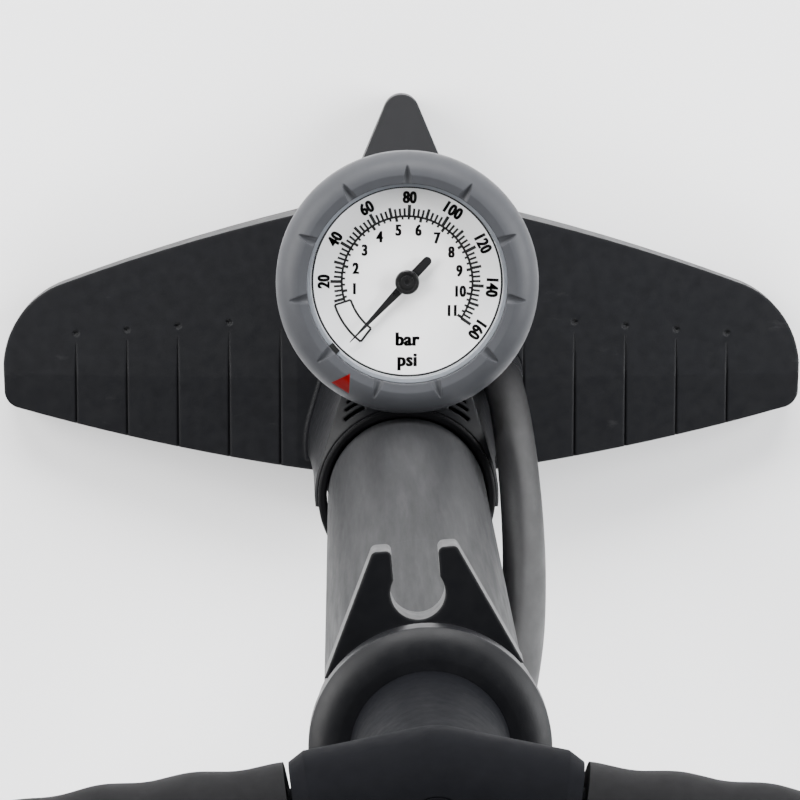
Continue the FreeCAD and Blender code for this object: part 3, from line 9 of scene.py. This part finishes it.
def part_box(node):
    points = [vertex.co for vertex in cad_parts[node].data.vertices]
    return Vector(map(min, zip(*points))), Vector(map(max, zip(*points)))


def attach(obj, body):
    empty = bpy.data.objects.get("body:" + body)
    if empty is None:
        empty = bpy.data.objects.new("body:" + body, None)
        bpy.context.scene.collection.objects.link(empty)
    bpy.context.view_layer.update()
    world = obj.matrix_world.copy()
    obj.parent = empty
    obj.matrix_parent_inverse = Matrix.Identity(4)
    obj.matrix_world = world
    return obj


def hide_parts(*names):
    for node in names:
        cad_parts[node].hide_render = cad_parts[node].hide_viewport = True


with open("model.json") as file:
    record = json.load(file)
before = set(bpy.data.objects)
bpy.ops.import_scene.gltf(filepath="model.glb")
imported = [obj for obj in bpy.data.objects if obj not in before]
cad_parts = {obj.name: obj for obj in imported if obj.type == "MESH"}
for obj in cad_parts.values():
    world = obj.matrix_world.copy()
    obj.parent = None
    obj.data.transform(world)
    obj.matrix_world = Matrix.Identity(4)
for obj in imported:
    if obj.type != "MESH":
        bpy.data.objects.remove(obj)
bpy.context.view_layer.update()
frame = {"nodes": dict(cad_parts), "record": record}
NODES = frame["nodes"]
MM = 0.001

# ---------------------------------------------------------------- camera and hose
CAMERA_PLACE = (-0.0171, 0.1843, 1.650)
CAMERA_TARGET = (-0.0003, 0.0100, 0.0)
CAMERA_LENS = 257.0
SENSOR_WIDTH = 36.0
BARREL_RADIUS = 20.9 * MM
HOSE_RADIUS = 5.3 * MM
HOSE_LOW_Z = 50.0 * MM
HOSE_HIGH_Z = 545.0 * MM
# Each row: direction from +X about the barrel, gap between hose and barrel in mm, share of the rise.
HOSE_WAY = (
    (37.5, 9.1, 0.0),
    (37.5, 9.1, 0.085),
    (26.5, 5.9, 0.2),
    (11.0, 2.75, 0.333),
    (-10.4, 1.55, 0.455),
    (-32.6, 2.75, 0.575),
    (-54.0, 4.2, 0.7),
    (-75.2, 5.2, 0.81),
    (-90.0, 6.3, 0.92),
    (-90.0, 6.3, 1.0),
)

# ---------------------------------------------------------------- gauge print
# Radii, widths and heights on the dial are in millimetres, directions in degrees from +X.
GAUGE_Y = 57.6 * MM      # from the barrel's axis to the gauge's
DIAL_CENTRE = Vector((0.0, GAUGE_Y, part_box("dial_plate")[1].z))
INK = 0.04 * MM          # thickness of the print
PSI_FIRST_DEG = 180.0    # direction of the first numbered figure
PSI_FIRST = 20.0
PSI_LAST = 160.0
PSI_PER_NUMBER = 20
PSI_PER_TICK = 2.5
DEG_PER_PSI = 1.53
PSI_PER_BAR = 14.504
SCALE_RADIUS = 17.2
SCALE_LINE = 0.6
SCALE_STEPS = 96
PSI_TICKS = range(-4, 57)        # counted from the first numbered figure
MAJOR_TICK = (20.2, 0.85)        # outer radius, width: every eighth
MIDDLE_TICK = (19.9, 0.75)       # every fourth
MINOR_TICK = (19.3, 0.6)
BAR_QUARTERS = range(3, 45)      # ticks on the bar scale, in quarters of a bar
WHOLE_BAR_TICK = (15.9, 0.75)    # inner radius, width
QUARTER_BAR_TICK = (16.3, 0.58)
OUTLINE_RADIUS = 24.9
OUTLINE_WIDTH = 0.55
OUTLINE_STEPS = 160
ZERO_BOX_DEG = (198.0, 232.5)
ZERO_BOX_RADII = (15.6, 20.0)
ZERO_BOX_STEPS = 24
INDEX_DEG = 222.0
INDEX_RADII = (25.0, 26.3)
INDEX_WIDTH = 2.9

CAPITAL_SHARE = 0.7      # height of a capital, as a share of the font's size
LETTER_SPACING = 1.08
BOLD_OUTLINE = 0.6       # shares of a text's boldness that swell its outline and shift its copies
BOLD_SHIFT = 0.7
BOLD_COPIES = 3
NUMBER_BOLD = 0.2
PSI_NUMBER_RADIUS = 21.75
PSI_NUMBER_DRIFT = 0.004         # added to the radius for each psi
PSI_NUMBER_HEIGHT = 3.0
PSI_NUMBER_NARROW = 0.78
BAR_NUMBERS = range(1, 12)
BAR_NUMBER_RADIUS = 13.55
BAR_NUMBER_DRIFT = 0.11          # added to the radius for each bar away from the middle one
BAR_NUMBER_MIDDLE = 5
BAR_NUMBER_HEIGHT = 2.8
BAR_NUMBER_NARROW = 0.76
UNIT_WORDS = (("bar", 15.4), ("psi", 20.8))      # word, radius
UNIT_DEG = 270.0
UNIT_HEIGHT = 3.4
UNIT_NARROW = 0.9
UNIT_BOLD = 0.22


def add_camera():
    """Camera high over the pump, nearly in line with its barrel."""
    data = bpy.data.cameras.new("camera")
    data.lens = CAMERA_LENS
    data.sensor_width = SENSOR_WIDTH
    data.clip_start = 0.05
    data.clip_end = 10.0
    camera = bpy.data.objects.new("camera", data)
    bpy.context.scene.collection.objects.link(camera)
    camera.location = CAMERA_PLACE
    sight = Vector(CAMERA_TARGET) - Vector(CAMERA_PLACE)
    back = -sight.normalized()
    right = Vector((0.0, 1.0, 0.0)).cross(back).normalized()
    up = back.cross(right)
    camera.rotation_euler = Matrix((right, up, back)).transposed().to_euler()
    bpy.context.scene.camera = camera


def area_light(name, place, target, size, power, colour=(1.0, 1.0, 1.0)):
    """Soft rectangular light, in metres and watts, turned to its target."""
    data = bpy.data.lights.new(name, "AREA")
    data.shape = "RECTANGLE"
    data.size, data.size_y = size
    data.energy = power
    data.color = colour
    light = bpy.data.objects.new(name, data)
    light.location = place
    light.rotation_euler = (Vector(target) - Vector(place)).to_track_quat("-Z", "Y").to_euler()
    bpy.context.scene.collection.objects.link(light)


def add_lights():
    """Bright walls round a dark ceiling, so that sides are lit and flat tops stay dark."""
    target = (0.0, 0.0, 0.12)
    area_light("left_wall", (-1.5, 0.5, 1.0), target, (1.6, 1.2), 85.0, (1.0, 0.995, 0.985))
    area_light("right_wall", (1.5, 0.3, 0.9), target, (1.4, 1.1), 75.0, (0.98, 0.99, 1.0))
    area_light("front_wall", (0.0, 1.7, 0.9), target, (1.8, 0.9), 90.0)
    area_light("rear_wall", (0.1, -1.7, 1.0), target, (1.8, 1.0), 45.0)
    world = bpy.data.worlds.new("studio")
    bpy.context.scene.world = world
    world.use_nodes = True
    background = world.node_tree.nodes["Background"]
    background.inputs["Color"].default_value = (1.0, 1.0, 1.0, 1.0)
    background.inputs["Strength"].default_value = 0.12


def add_floor():
    """Plain pale floor, six metres square."""
    mesh = bpy.data.meshes.new("floor")
    half = 3.0
    corners = [(-half, -half, 0), (half, -half, 0), (half, half, 0), (-half, half, 0)]
    mesh.from_pydata(corners, [], [(0, 1, 2, 3)])
    floor = bpy.data.objects.new("floor", mesh)
    bpy.context.scene.collection.objects.link(floor)
    material, shader, _ = new_material("floor_white", (0.86, 0.86, 0.87), 0.75)
    shader.inputs["Specular IOR Level"].default_value = 0.1
    mesh.materials.append(material)


# ---------------------------------------------------------------- materials
def new_material(name, colour, roughness, metallic=0.0):
    """Material with a Principled shader, and that shader and its node tree."""
    material = bpy.data.materials.new(name)
    material.use_nodes = True
    material.diffuse_color = (*colour, 1.0)
    tree = material.node_tree
    shader = tree.nodes["Principled BSDF"]
    shader.inputs["Base Color"].default_value = (*colour, 1.0)
    shader.inputs["Roughness"].default_value = roughness
    shader.inputs["Metallic"].default_value = metallic
    return material, shader, tree


def coordinates(tree, stretch=(1.0, 1.0, 1.0)):
    """Object coordinates, stretched along an axis for drawn or brushed marks."""
    source = tree.nodes.new("ShaderNodeTexCoord")
    mapping = tree.nodes.new("ShaderNodeMapping")
    mapping.inputs["Scale"].default_value = stretch
    tree.links.new(source.outputs["Object"], mapping.inputs["Vector"])
    return mapping.outputs["Vector"]


def noise(tree, scale, detail=3.0, roughness=0.5, stretch=(1.0, 1.0, 1.0)):
    node = tree.nodes.new("ShaderNodeTexNoise")
    node.inputs["Scale"].default_value = scale
    node.inputs["Detail"].default_value = detail
    node.inputs["Roughness"].default_value = roughness
    tree.links.new(coordinates(tree, stretch), node.inputs["Vector"])
    return node.outputs["Fac"]


def ramp(tree, value, stops):
    """Colour ramp from (position, colour) stops; a colour may be one grey number."""
    node = tree.nodes.new("ShaderNodeValToRGB")
    elements = node.color_ramp.elements
    while len(elements) < len(stops):
        elements.new(0.5)
    for element, (position, colour) in zip(elements, stops):
        element.position = position
        grey = isinstance(colour, float)
        element.color = (colour, colour, colour, 1.0) if grey else (*colour, 1.0)
    tree.links.new(value, node.inputs["Fac"])
    return node.outputs["Color"]


def mottled_colour(tree, shader, colour, spread, scale, stretch=(1.0, 1.0, 1.0)):
    """Slight variation of the base colour, darker and lighter by spread."""
    dark = tuple(c * (1.0 - spread) for c in colour)
    light = tuple(min(1.0, c * (1.0 + spread)) for c in colour)
    value = noise(tree, scale, 4.0, 0.6, stretch)
    tree.links.new(ramp(tree, value, [(0.3, dark), (0.7, light)]), shader.inputs["Base Color"])


def varied_roughness(tree, shader, low, high, scale, stretch=(1.0, 1.0, 1.0)):
    """Roughness that drifts between low and high."""
    value = noise(tree, scale, 5.0, 0.6, stretch)
    tree.links.new(ramp(tree, value, [(0.3, low), (0.7, high)]), shader.inputs["Roughness"])


def bump(tree, shader, value, strength, depth):
    """Adds a bump layer, on top of any that the shader has."""
    node = tree.nodes.new("ShaderNodeBump")
    node.inputs["Strength"].default_value = strength
    node.inputs["Distance"].default_value = depth
    tree.links.new(value, node.inputs["Height"])
    normal = shader.inputs["Normal"]
    if normal.is_linked:
        tree.links.new(normal.links[0].from_socket, node.inputs["Normal"])
    tree.links.new(node.outputs["Normal"], normal)


def soft_edges(tree, shader, radius):
    """Shades sharp edges as if they were rounded to this radius."""
    node = tree.nodes.new("ShaderNodeBevel")
    node.samples = 6
    node.inputs["Radius"].default_value = radius
    tree.links.new(node.outputs["Normal"], shader.inputs["Normal"])


def moulded_plastic(name, colour, roughness, grain=0.25, spread=0.06, edge=0.3, gloss=0.13):
    """Spark-eroded mould texture: fine grain, uneven gloss, faint flow marks, edges rounded to edge mm."""
    material, shader, tree = new_material(name, colour, roughness)
    soft_edges(tree, shader, edge * MM)
    mottled_colour(tree, shader, colour, spread, 260.0)
    varied_roughness(tree, shader, roughness - 0.05, roughness + 0.07, 320.0)
    bump(tree, shader, noise(tree, 2600.0, 2.0), grain, 0.05 * MM)
    bump(tree, shader, noise(tree, 45.0, 2.0), 0.05, 0.3 * MM)
    shader.inputs["Specular IOR Level"].default_value = gloss
    return material


def rubber(name, colour, roughness, grain=0.3, gloss=0.18):
    """Rubber: fine pores, slightly uneven colour and gloss."""
    material, shader, tree = new_material(name, colour, roughness)
    mottled_colour(tree, shader, colour, 0.15, 400.0)
    varied_roughness(tree, shader, roughness - 0.07, roughness + 0.1, 90.0)
    bump(tree, shader, noise(tree, 3200.0, 3.0), grain, 0.04 * MM)
    shader.inputs["Specular IOR Level"].default_value = gloss
    return material


def hose_rubber():
    """Extruded hose: faint die lines and gloss changes along its length."""
    colour = (0.007, 0.007, 0.0075)
    along = (1.0, 1.0, 0.04)
    material, shader, tree = new_material("hose_rubber", colour, 0.42)
    mottled_colour(tree, shader, colour, 0.1, 300.0, along)
    varied_roughness(tree, shader, 0.38, 0.48, 200.0, along)
    bump(tree, shader, noise(tree, 900.0, 3.0, 0.6, along), 0.06, 0.04 * MM)
    shader.inputs["Specular IOR Level"].default_value = 0.06
    return material


def barrel_paint():
    """Satin grey coat over a drawn tube: fine orange peel and faint rubbed marks along it."""
    colour = (0.0165, 0.0168, 0.0178)
    material, shader, tree = new_material("barrel_satin_grey", colour, 0.42)
    mottled_colour(tree, shader, colour, 0.05, 60.0, (3.0, 3.0, 0.1))
    shader.inputs["Specular IOR Level"].default_value = 0.012
    varied_roughness(tree, shader, 0.36, 0.5, 40.0, (10.0, 10.0, 0.5))
    bump(tree, shader, noise(tree, 900.0, 3.0), 0.12, 0.05 * MM)
    bump(tree, shader, noise(tree, 300.0, 4.0, 0.7, (2.0, 2.0, 0.05)), 0.06, 0.05 * MM)
    return material


def metal(name, colour, roughness, stretch=(1.0, 1.0, 1.0), grain=0.15):
    """Machined or drawn metal with marks along one axis."""
    material, shader, tree = new_material(name, colour, roughness, 1.0)
    mottled_colour(tree, shader, colour, 0.07, 200.0, stretch)
    varied_roughness(tree, shader, max(0.03, roughness - 0.06), roughness + 0.08, 300.0, stretch)
    bump(tree, shader, noise(tree, 1200.0, 3.0, 0.6, stretch), grain, 0.02 * MM)
    return material


def lens_glass():
    """Clear window: nearly all light passes straight through, with a thin gloss on top."""
    material, shader, tree = new_material("lens_clear", (1.0, 1.0, 1.0), 0.03)
    shader.inputs["Alpha"].default_value = 0.08
    shader.inputs["Transmission Weight"].default_value = 1.0
    shader.inputs["IOR"].default_value = 1.1
    varied_roughness(tree, shader, 0.02, 0.06, 60.0)
    return material


def dial_white():
    """Satin white enamel of the dial plate."""
    colour = (0.93, 0.93, 0.935)
    material, shader, tree = new_material("dial_white", colour, 0.5)
    mottled_colour(tree, shader, colour, 0.02, 90.0)
    bump(tree, shader, noise(tree, 1500.0, 2.0), 0.05, 0.02 * MM)
    return material


def ink(name, colour):
    """Printed ink, slightly uneven."""
    material, shader, tree = new_material(name, colour, 0.55)
    mottled_colour(tree, shader, colour, 0.15, 800.0)
    return material


def add_scuffs(material, colour, amount, scale, stretch):
    """Sparse pale rubs where noise peaks, as handling leaves on a dark surface."""
    tree = material.node_tree
    shader = tree.nodes["Principled BSDF"]
    mask = ramp(tree, noise(tree, scale, 8.0, 0.7, stretch), [(0.62, 0.0), (0.74, amount)])
    mix = tree.nodes.new("ShaderNodeMix")
    mix.data_type = "RGBA"
    sockets = {socket.identifier: socket for socket in [*mix.inputs, *mix.outputs]}
    base = shader.inputs["Base Color"]
    tree.links.new(mask, sockets["Factor_Float"])
    tree.links.new(base.links[0].from_socket, sockets["A_Color"])
    sockets["B_Color"].default_value = (*colour, 1.0)
    tree.links.new(sockets["Result_Color"], base)


def make_materials():
    base_black = (0.0046, 0.0048, 0.0058)
    base_plastic = moulded_plastic("base_black_nylon", base_black, 0.42, grain=0.3, spread=0.1, edge=0.9)
    add_scuffs(base_plastic, (0.02, 0.02, 0.021), amount=0.6, scale=55.0, stretch=(1.0, 2.5, 1.0))
    barrel = barrel_paint()
    add_scuffs(barrel, (0.05, 0.05, 0.052), amount=0.5, scale=22.0, stretch=(1.0, 1.0, 14.0))
    return {
        "base_plastic": base_plastic,
        "foot_rubber": rubber("foot_pad_rubber", (0.012, 0.012, 0.012), 0.75),
        "collar_plastic": moulded_plastic("collar_black", (0.0035, 0.0035, 0.004), 0.5,
                                          grain=0.15, gloss=0.05),
        "barrel_paint": barrel,
        "aluminium": metal("machined_aluminium", (0.62, 0.63, 0.65), 0.28, stretch=(1.0, 1.0, 12.0)),
        "seal_rubber": rubber("seal_rubber", (0.006, 0.006, 0.006), 0.5, grain=0.1),
        "brass": metal("turned_brass", (0.75, 0.52, 0.22), 0.25, stretch=(1.0, 1.0, 10.0)),
        "manifold_plastic": moulded_plastic("manifold_black", (0.008, 0.008, 0.008), 0.5),
        "pipe_steel": metal("pipe_steel", (0.5, 0.5, 0.5), 0.3, stretch=(8.0, 8.0, 0.5)),
        "zinc_steel": metal("zinc_plated_steel", (0.56, 0.57, 0.6), 0.32),
        "gauge_case_paint": moulded_plastic("gauge_case_black", (0.005, 0.005, 0.006), 0.4, grain=0.15),
        "bezel_grey": moulded_plastic("bezel_grey", (0.038, 0.0395, 0.044), 0.45,
                                      grain=0.2, spread=0.05, edge=0.5, gloss=0.16),
        "marker_red": moulded_plastic("marker_red", (0.105, 0.0001, 0.0005), 0.35,
                                      grain=0.05, spread=0.12, edge=0.1),
        "dial_white": dial_white(),
        "spacer_grey": moulded_plastic("spacer_pale_grey", (0.20, 0.215, 0.24), 0.4, grain=0.05, spread=0.04),
        "lens_clear": lens_glass(),
        "needle_black": moulded_plastic("needle_black", (0.007, 0.007, 0.0075), 0.3,
                                        grain=0.05, edge=0.15, gloss=0.4),
        "rod_chrome": metal("polished_chrome", (0.78, 0.79, 0.81), 0.07, stretch=(1.0, 1.0, 0.1), grain=0.03),
        "bush_acetal": moulded_plastic("bush_acetal", (0.3, 0.3, 0.28), 0.4, grain=0.1),
        "handle_plastic": moulded_plastic("handle_black", base_black, 0.55,
                                          grain=0.3, spread=0.1, edge=0.5, gloss=0.008),
        "grip_rubber": rubber("grip_rubber", (0.006, 0.006, 0.0065), 0.7, grain=0.45, gloss=0.05),
        "hose_rubber": hose_rubber(),
        "ferrule_aluminium": metal("crimped_aluminium", (0.6, 0.6, 0.63), 0.3, stretch=(1.0, 1.0, 6.0)),
        "head_cap_plastic": moulded_plastic("head_cap_black", (0.008, 0.008, 0.009), 0.4),
        "lever_plastic": moulded_plastic("lever_grey", (0.055, 0.057, 0.062), 0.4),
        "ink_black": ink("dial_ink_black", (0.003, 0.003, 0.0032)),
    }


def dress_nodes(materials):
    """Every CAD node takes its record slot's material."""
    for part in frame["record"]["subparts"]:
        node = NODES[part["node"]]
        node.data.materials.clear()
        node.data.materials.append(materials[part["material_slot"]])
        for polygon in node.data.polygons:
            polygon.material_index = 0


# ---------------------------------------------------------------- pieces
def put(name, mesh_or_curve, material, body="frame"):
    """New object from mesh or curve data, in the row frame, riding on a body."""
    piece = bpy.data.objects.new(name, mesh_or_curve)
    bpy.context.scene.collection.objects.link(piece)
    mesh_or_curve.materials.clear()
    mesh_or_curve.materials.append(material)
    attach(piece, body)
    return piece


def hose_point(deg, gap, share):
    """Point on the hose's route, from one row of HOSE_WAY."""
    reach = BARREL_RADIUS + gap * MM + HOSE_RADIUS
    turn = math.radians(deg)
    return (reach * math.cos(turn), reach * math.sin(turn), HOSE_LOW_Z + share * (HOSE_HIGH_Z - HOSE_LOW_Z))


def make_hose(materials):
    """The hose, one smooth curve through the same route as the CAD tube's."""
    places = [hose_point(*step) for step in HOSE_WAY]
    curve = bpy.data.curves.new("hose_tube", "CURVE")
    curve.dimensions = "3D"
    curve.bevel_depth = HOSE_RADIUS
    curve.bevel_resolution = 12
    curve.use_fill_caps = True
    spline = curve.splines.new("NURBS")
    spline.points.add(len(places) - 1)
    for point, place in zip(spline.points, places):
        point.co = (*place, 1.0)
    spline.order_u = 3
    spline.use_endpoint_u = True
    spline.resolution_u = 64
    hose = put("hose_tube", curve, materials["hose_rubber"])
    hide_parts("hose")


# ---------------------------------------------------------------- printed dial
def on_dial(radius, deg):
    """Point on the dial, from a radius in millimetres and a direction from +X."""
    turn = math.radians(deg)
    return DIAL_CENTRE + Vector((radius * MM * math.cos(turn), radius * MM * math.sin(turn), 0.0))


def psi_deg(psi):
    return PSI_FIRST_DEG - (psi - PSI_FIRST) * DEG_PER_PSI


def bar_deg(bar):
    return psi_deg(bar * PSI_PER_BAR)


def add_prism(bm, outline, z0, thickness):
    """Closed flat prism over a loop of points, for printed marks."""
    low = [bm.verts.new((p.x, p.y, z0)) for p in outline]
    high = [bm.verts.new((p.x, p.y, z0 + thickness)) for p in outline]
    count = len(outline)
    for i in range(count):
        j = (i + 1) % count
        bm.faces.new((low[i], low[j], high[j], high[i]))
    bm.faces.new(high)
    bm.faces.new(list(reversed(low)))


def add_tick(bm, deg, inner, outer, width, lift=0.0):
    """Radial bar of constant width, on the dial or lifted from it."""
    turn = math.radians(deg)
    across = Vector((-math.sin(turn), math.cos(turn), 0.0)) * (width * MM / 2)
    near = on_dial(inner, deg)
    far = on_dial(outer, deg)
    add_prism(bm, [near - across, far - across, far + across, near + across], DIAL_CENTRE.z + lift, INK)


def add_arc(bm, inner, outer, start, end, steps):
    """Band between two radii from one direction to another, or a whole ring."""
    whole = abs(end - start) >= 360.0
    count = steps if whole else steps + 1
    rings = []
    for z in (DIAL_CENTRE.z, DIAL_CENTRE.z + INK):
        for radius in (inner, outer):
            places = [on_dial(radius, start + (end - start) * i / steps) for i in range(count)]
            rings.append([bm.verts.new((p.x, p.y, z)) for p in places])
    low_in, low_out, high_in, high_out = rings
    for i in range(steps):
        j = (i + 1) % count
        bm.faces.new((high_in[i], high_out[i], high_out[j], high_in[j]))
        bm.faces.new((low_in[i], low_in[j], low_out[j], low_out[i]))
        bm.faces.new((low_out[i], low_out[j], high_out[j], high_out[i]))
        bm.faces.new((low_in[i], high_in[i], high_in[j], low_in[j]))
    if not whole:
        bm.faces.new((low_in[0], low_out[0], high_out[0], high_in[0]))
        bm.faces.new((low_in[-1], high_in[-1], high_out[-1], low_out[-1]))


def finish_mesh(bm, name):
    bmesh.ops.recalc_face_normals(bm, faces=bm.faces)
    mesh = bpy.data.meshes.new(name)
    bm.to_mesh(mesh)
    bm.free()
    return mesh


def add_outline(bm):
    """Thin ring round the whole dial."""
    half = OUTLINE_WIDTH / 2
    add_arc(bm, OUTLINE_RADIUS - half, OUTLINE_RADIUS + half, 0.0, 360.0, OUTLINE_STEPS)


def add_psi_ticks(bm):
    for step in PSI_TICKS:
        if step % 8 == 0:
            outer, width = MAJOR_TICK
        elif step % 4 == 0:
            outer, width = MIDDLE_TICK
        else:
            outer, width = MINOR_TICK
        add_tick(bm, psi_deg(PSI_FIRST + PSI_PER_TICK * step), SCALE_RADIUS, outer, width)


def add_bar_ticks(bm):
    for quarter in BAR_QUARTERS:
        inner, width = WHOLE_BAR_TICK if quarter % 4 == 0 else QUARTER_BAR_TICK
        add_tick(bm, bar_deg(quarter / 4.0), inner, SCALE_RADIUS, width)


def add_zero_box(bm):
    """Box in which the needle rests."""
    half = SCALE_LINE / 2
    inner, outer = ZERO_BOX_RADII
    start, end = ZERO_BOX_DEG
    add_arc(bm, inner - half, inner + half, start, end, ZERO_BOX_STEPS)
    add_arc(bm, outer - half, outer + half, start, end, ZERO_BOX_STEPS)
    add_tick(bm, start, inner, outer, SCALE_LINE)
    add_tick(bm, end, inner, outer, SCALE_LINE)


def make_dial_marks(materials):
    """Both scales, the dial's outline and the zero box, as one printed piece."""
    bm = bmesh.new()
    half = SCALE_LINE / 2
    add_arc(bm, SCALE_RADIUS - half, SCALE_RADIUS + half, ZERO_BOX_DEG[0], psi_deg(PSI_LAST), SCALE_STEPS)
    add_outline(bm)
    add_psi_ticks(bm)
    add_bar_ticks(bm)
    add_zero_box(bm)
    put("dial_marks", finish_mesh(bm, "dial_marks"), materials["ink_black"])


def add_text(bm, text, place, height, turn_deg, narrow, bold):
    """Printed word or number, centred on a place on the dial and thickened sideways by bold."""
    curve = bpy.data.curves.new("text", "FONT")
    curve.body = text
    curve.align_x = "CENTER"
    curve.align_y = "CENTER"
    curve.size = height * MM / CAPITAL_SHARE
    curve.offset = bold * MM * BOLD_OUTLINE
    curve.space_character = LETTER_SPACING
    curve.extrude = INK / 2
    curve.resolution_u = 4
    holder = bpy.data.objects.new("text", curve)
    bpy.context.scene.collection.objects.link(holder)
    bpy.context.view_layer.update()
    mesh = bpy.data.meshes.new_from_object(holder.evaluated_get(bpy.context.evaluated_depsgraph_get()))
    mesh.transform(Matrix.Diagonal((narrow, 1.0, 1.0, 1.0)))
    shift = Matrix.Translation((bold * MM * BOLD_SHIFT, 0.0, 0.0))
    mesh.transform(shift.inverted())
    stand = Matrix.Translation((place.x, place.y, DIAL_CENTRE.z + INK / 2))
    turn = Matrix.Rotation(math.radians(turn_deg), 4, "Z")
    for _ in range(BOLD_COPIES):
        copy = mesh.copy()
        copy.transform(stand @ turn)
        bm.from_mesh(copy)
        bpy.data.meshes.remove(copy)
        mesh.transform(shift)
    bpy.data.objects.remove(holder)
    bpy.data.curves.remove(curve)
    bpy.data.meshes.remove(mesh)


def make_dial_numbers(materials):
    """The psi figures turn with the scale, and the bar figures and the units stand upright."""
    bm = bmesh.new()
    for psi in range(int(PSI_FIRST), int(PSI_LAST) + 1, PSI_PER_NUMBER):
        deg = psi_deg(psi)
        place = on_dial(PSI_NUMBER_RADIUS + PSI_NUMBER_DRIFT * (psi - PSI_FIRST), deg)
        add_text(bm, str(psi), place, PSI_NUMBER_HEIGHT, deg - 90.0, PSI_NUMBER_NARROW, NUMBER_BOLD)
    for bar in BAR_NUMBERS:
        place = on_dial(BAR_NUMBER_RADIUS + BAR_NUMBER_DRIFT * abs(bar - BAR_NUMBER_MIDDLE), bar_deg(bar))
        add_text(bm, str(bar), place, BAR_NUMBER_HEIGHT, 0.0, BAR_NUMBER_NARROW, NUMBER_BOLD)
    for word, radius in UNIT_WORDS:
        add_text(bm, word, on_dial(radius, UNIT_DEG), UNIT_HEIGHT, 0.0, UNIT_NARROW, UNIT_BOLD)
    mesh = bpy.data.meshes.new("dial_numbers")
    bm.to_mesh(mesh)
    bm.free()
    put("dial_numbers", mesh, materials["ink_black"])


def make_index_mark(materials):
    """Black index printed on the lens's underside, over the spacer ring."""
    bm = bmesh.new()
    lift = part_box("gauge_lens")[0].z - DIAL_CENTRE.z
    add_tick(bm, INDEX_DEG, *INDEX_RADII, INDEX_WIDTH, lift)
    put("index_mark", finish_mesh(bm, "index_mark"), materials["ink_black"])


# ---------------------------------------------------------------- scene
def main():
    add_camera()
    add_lights()
    add_floor()
    materials = make_materials()
    dress_nodes(materials)
    make_hose(materials)
    make_dial_marks(materials)
    make_dial_numbers(materials)
    make_index_mark(materials)


main()
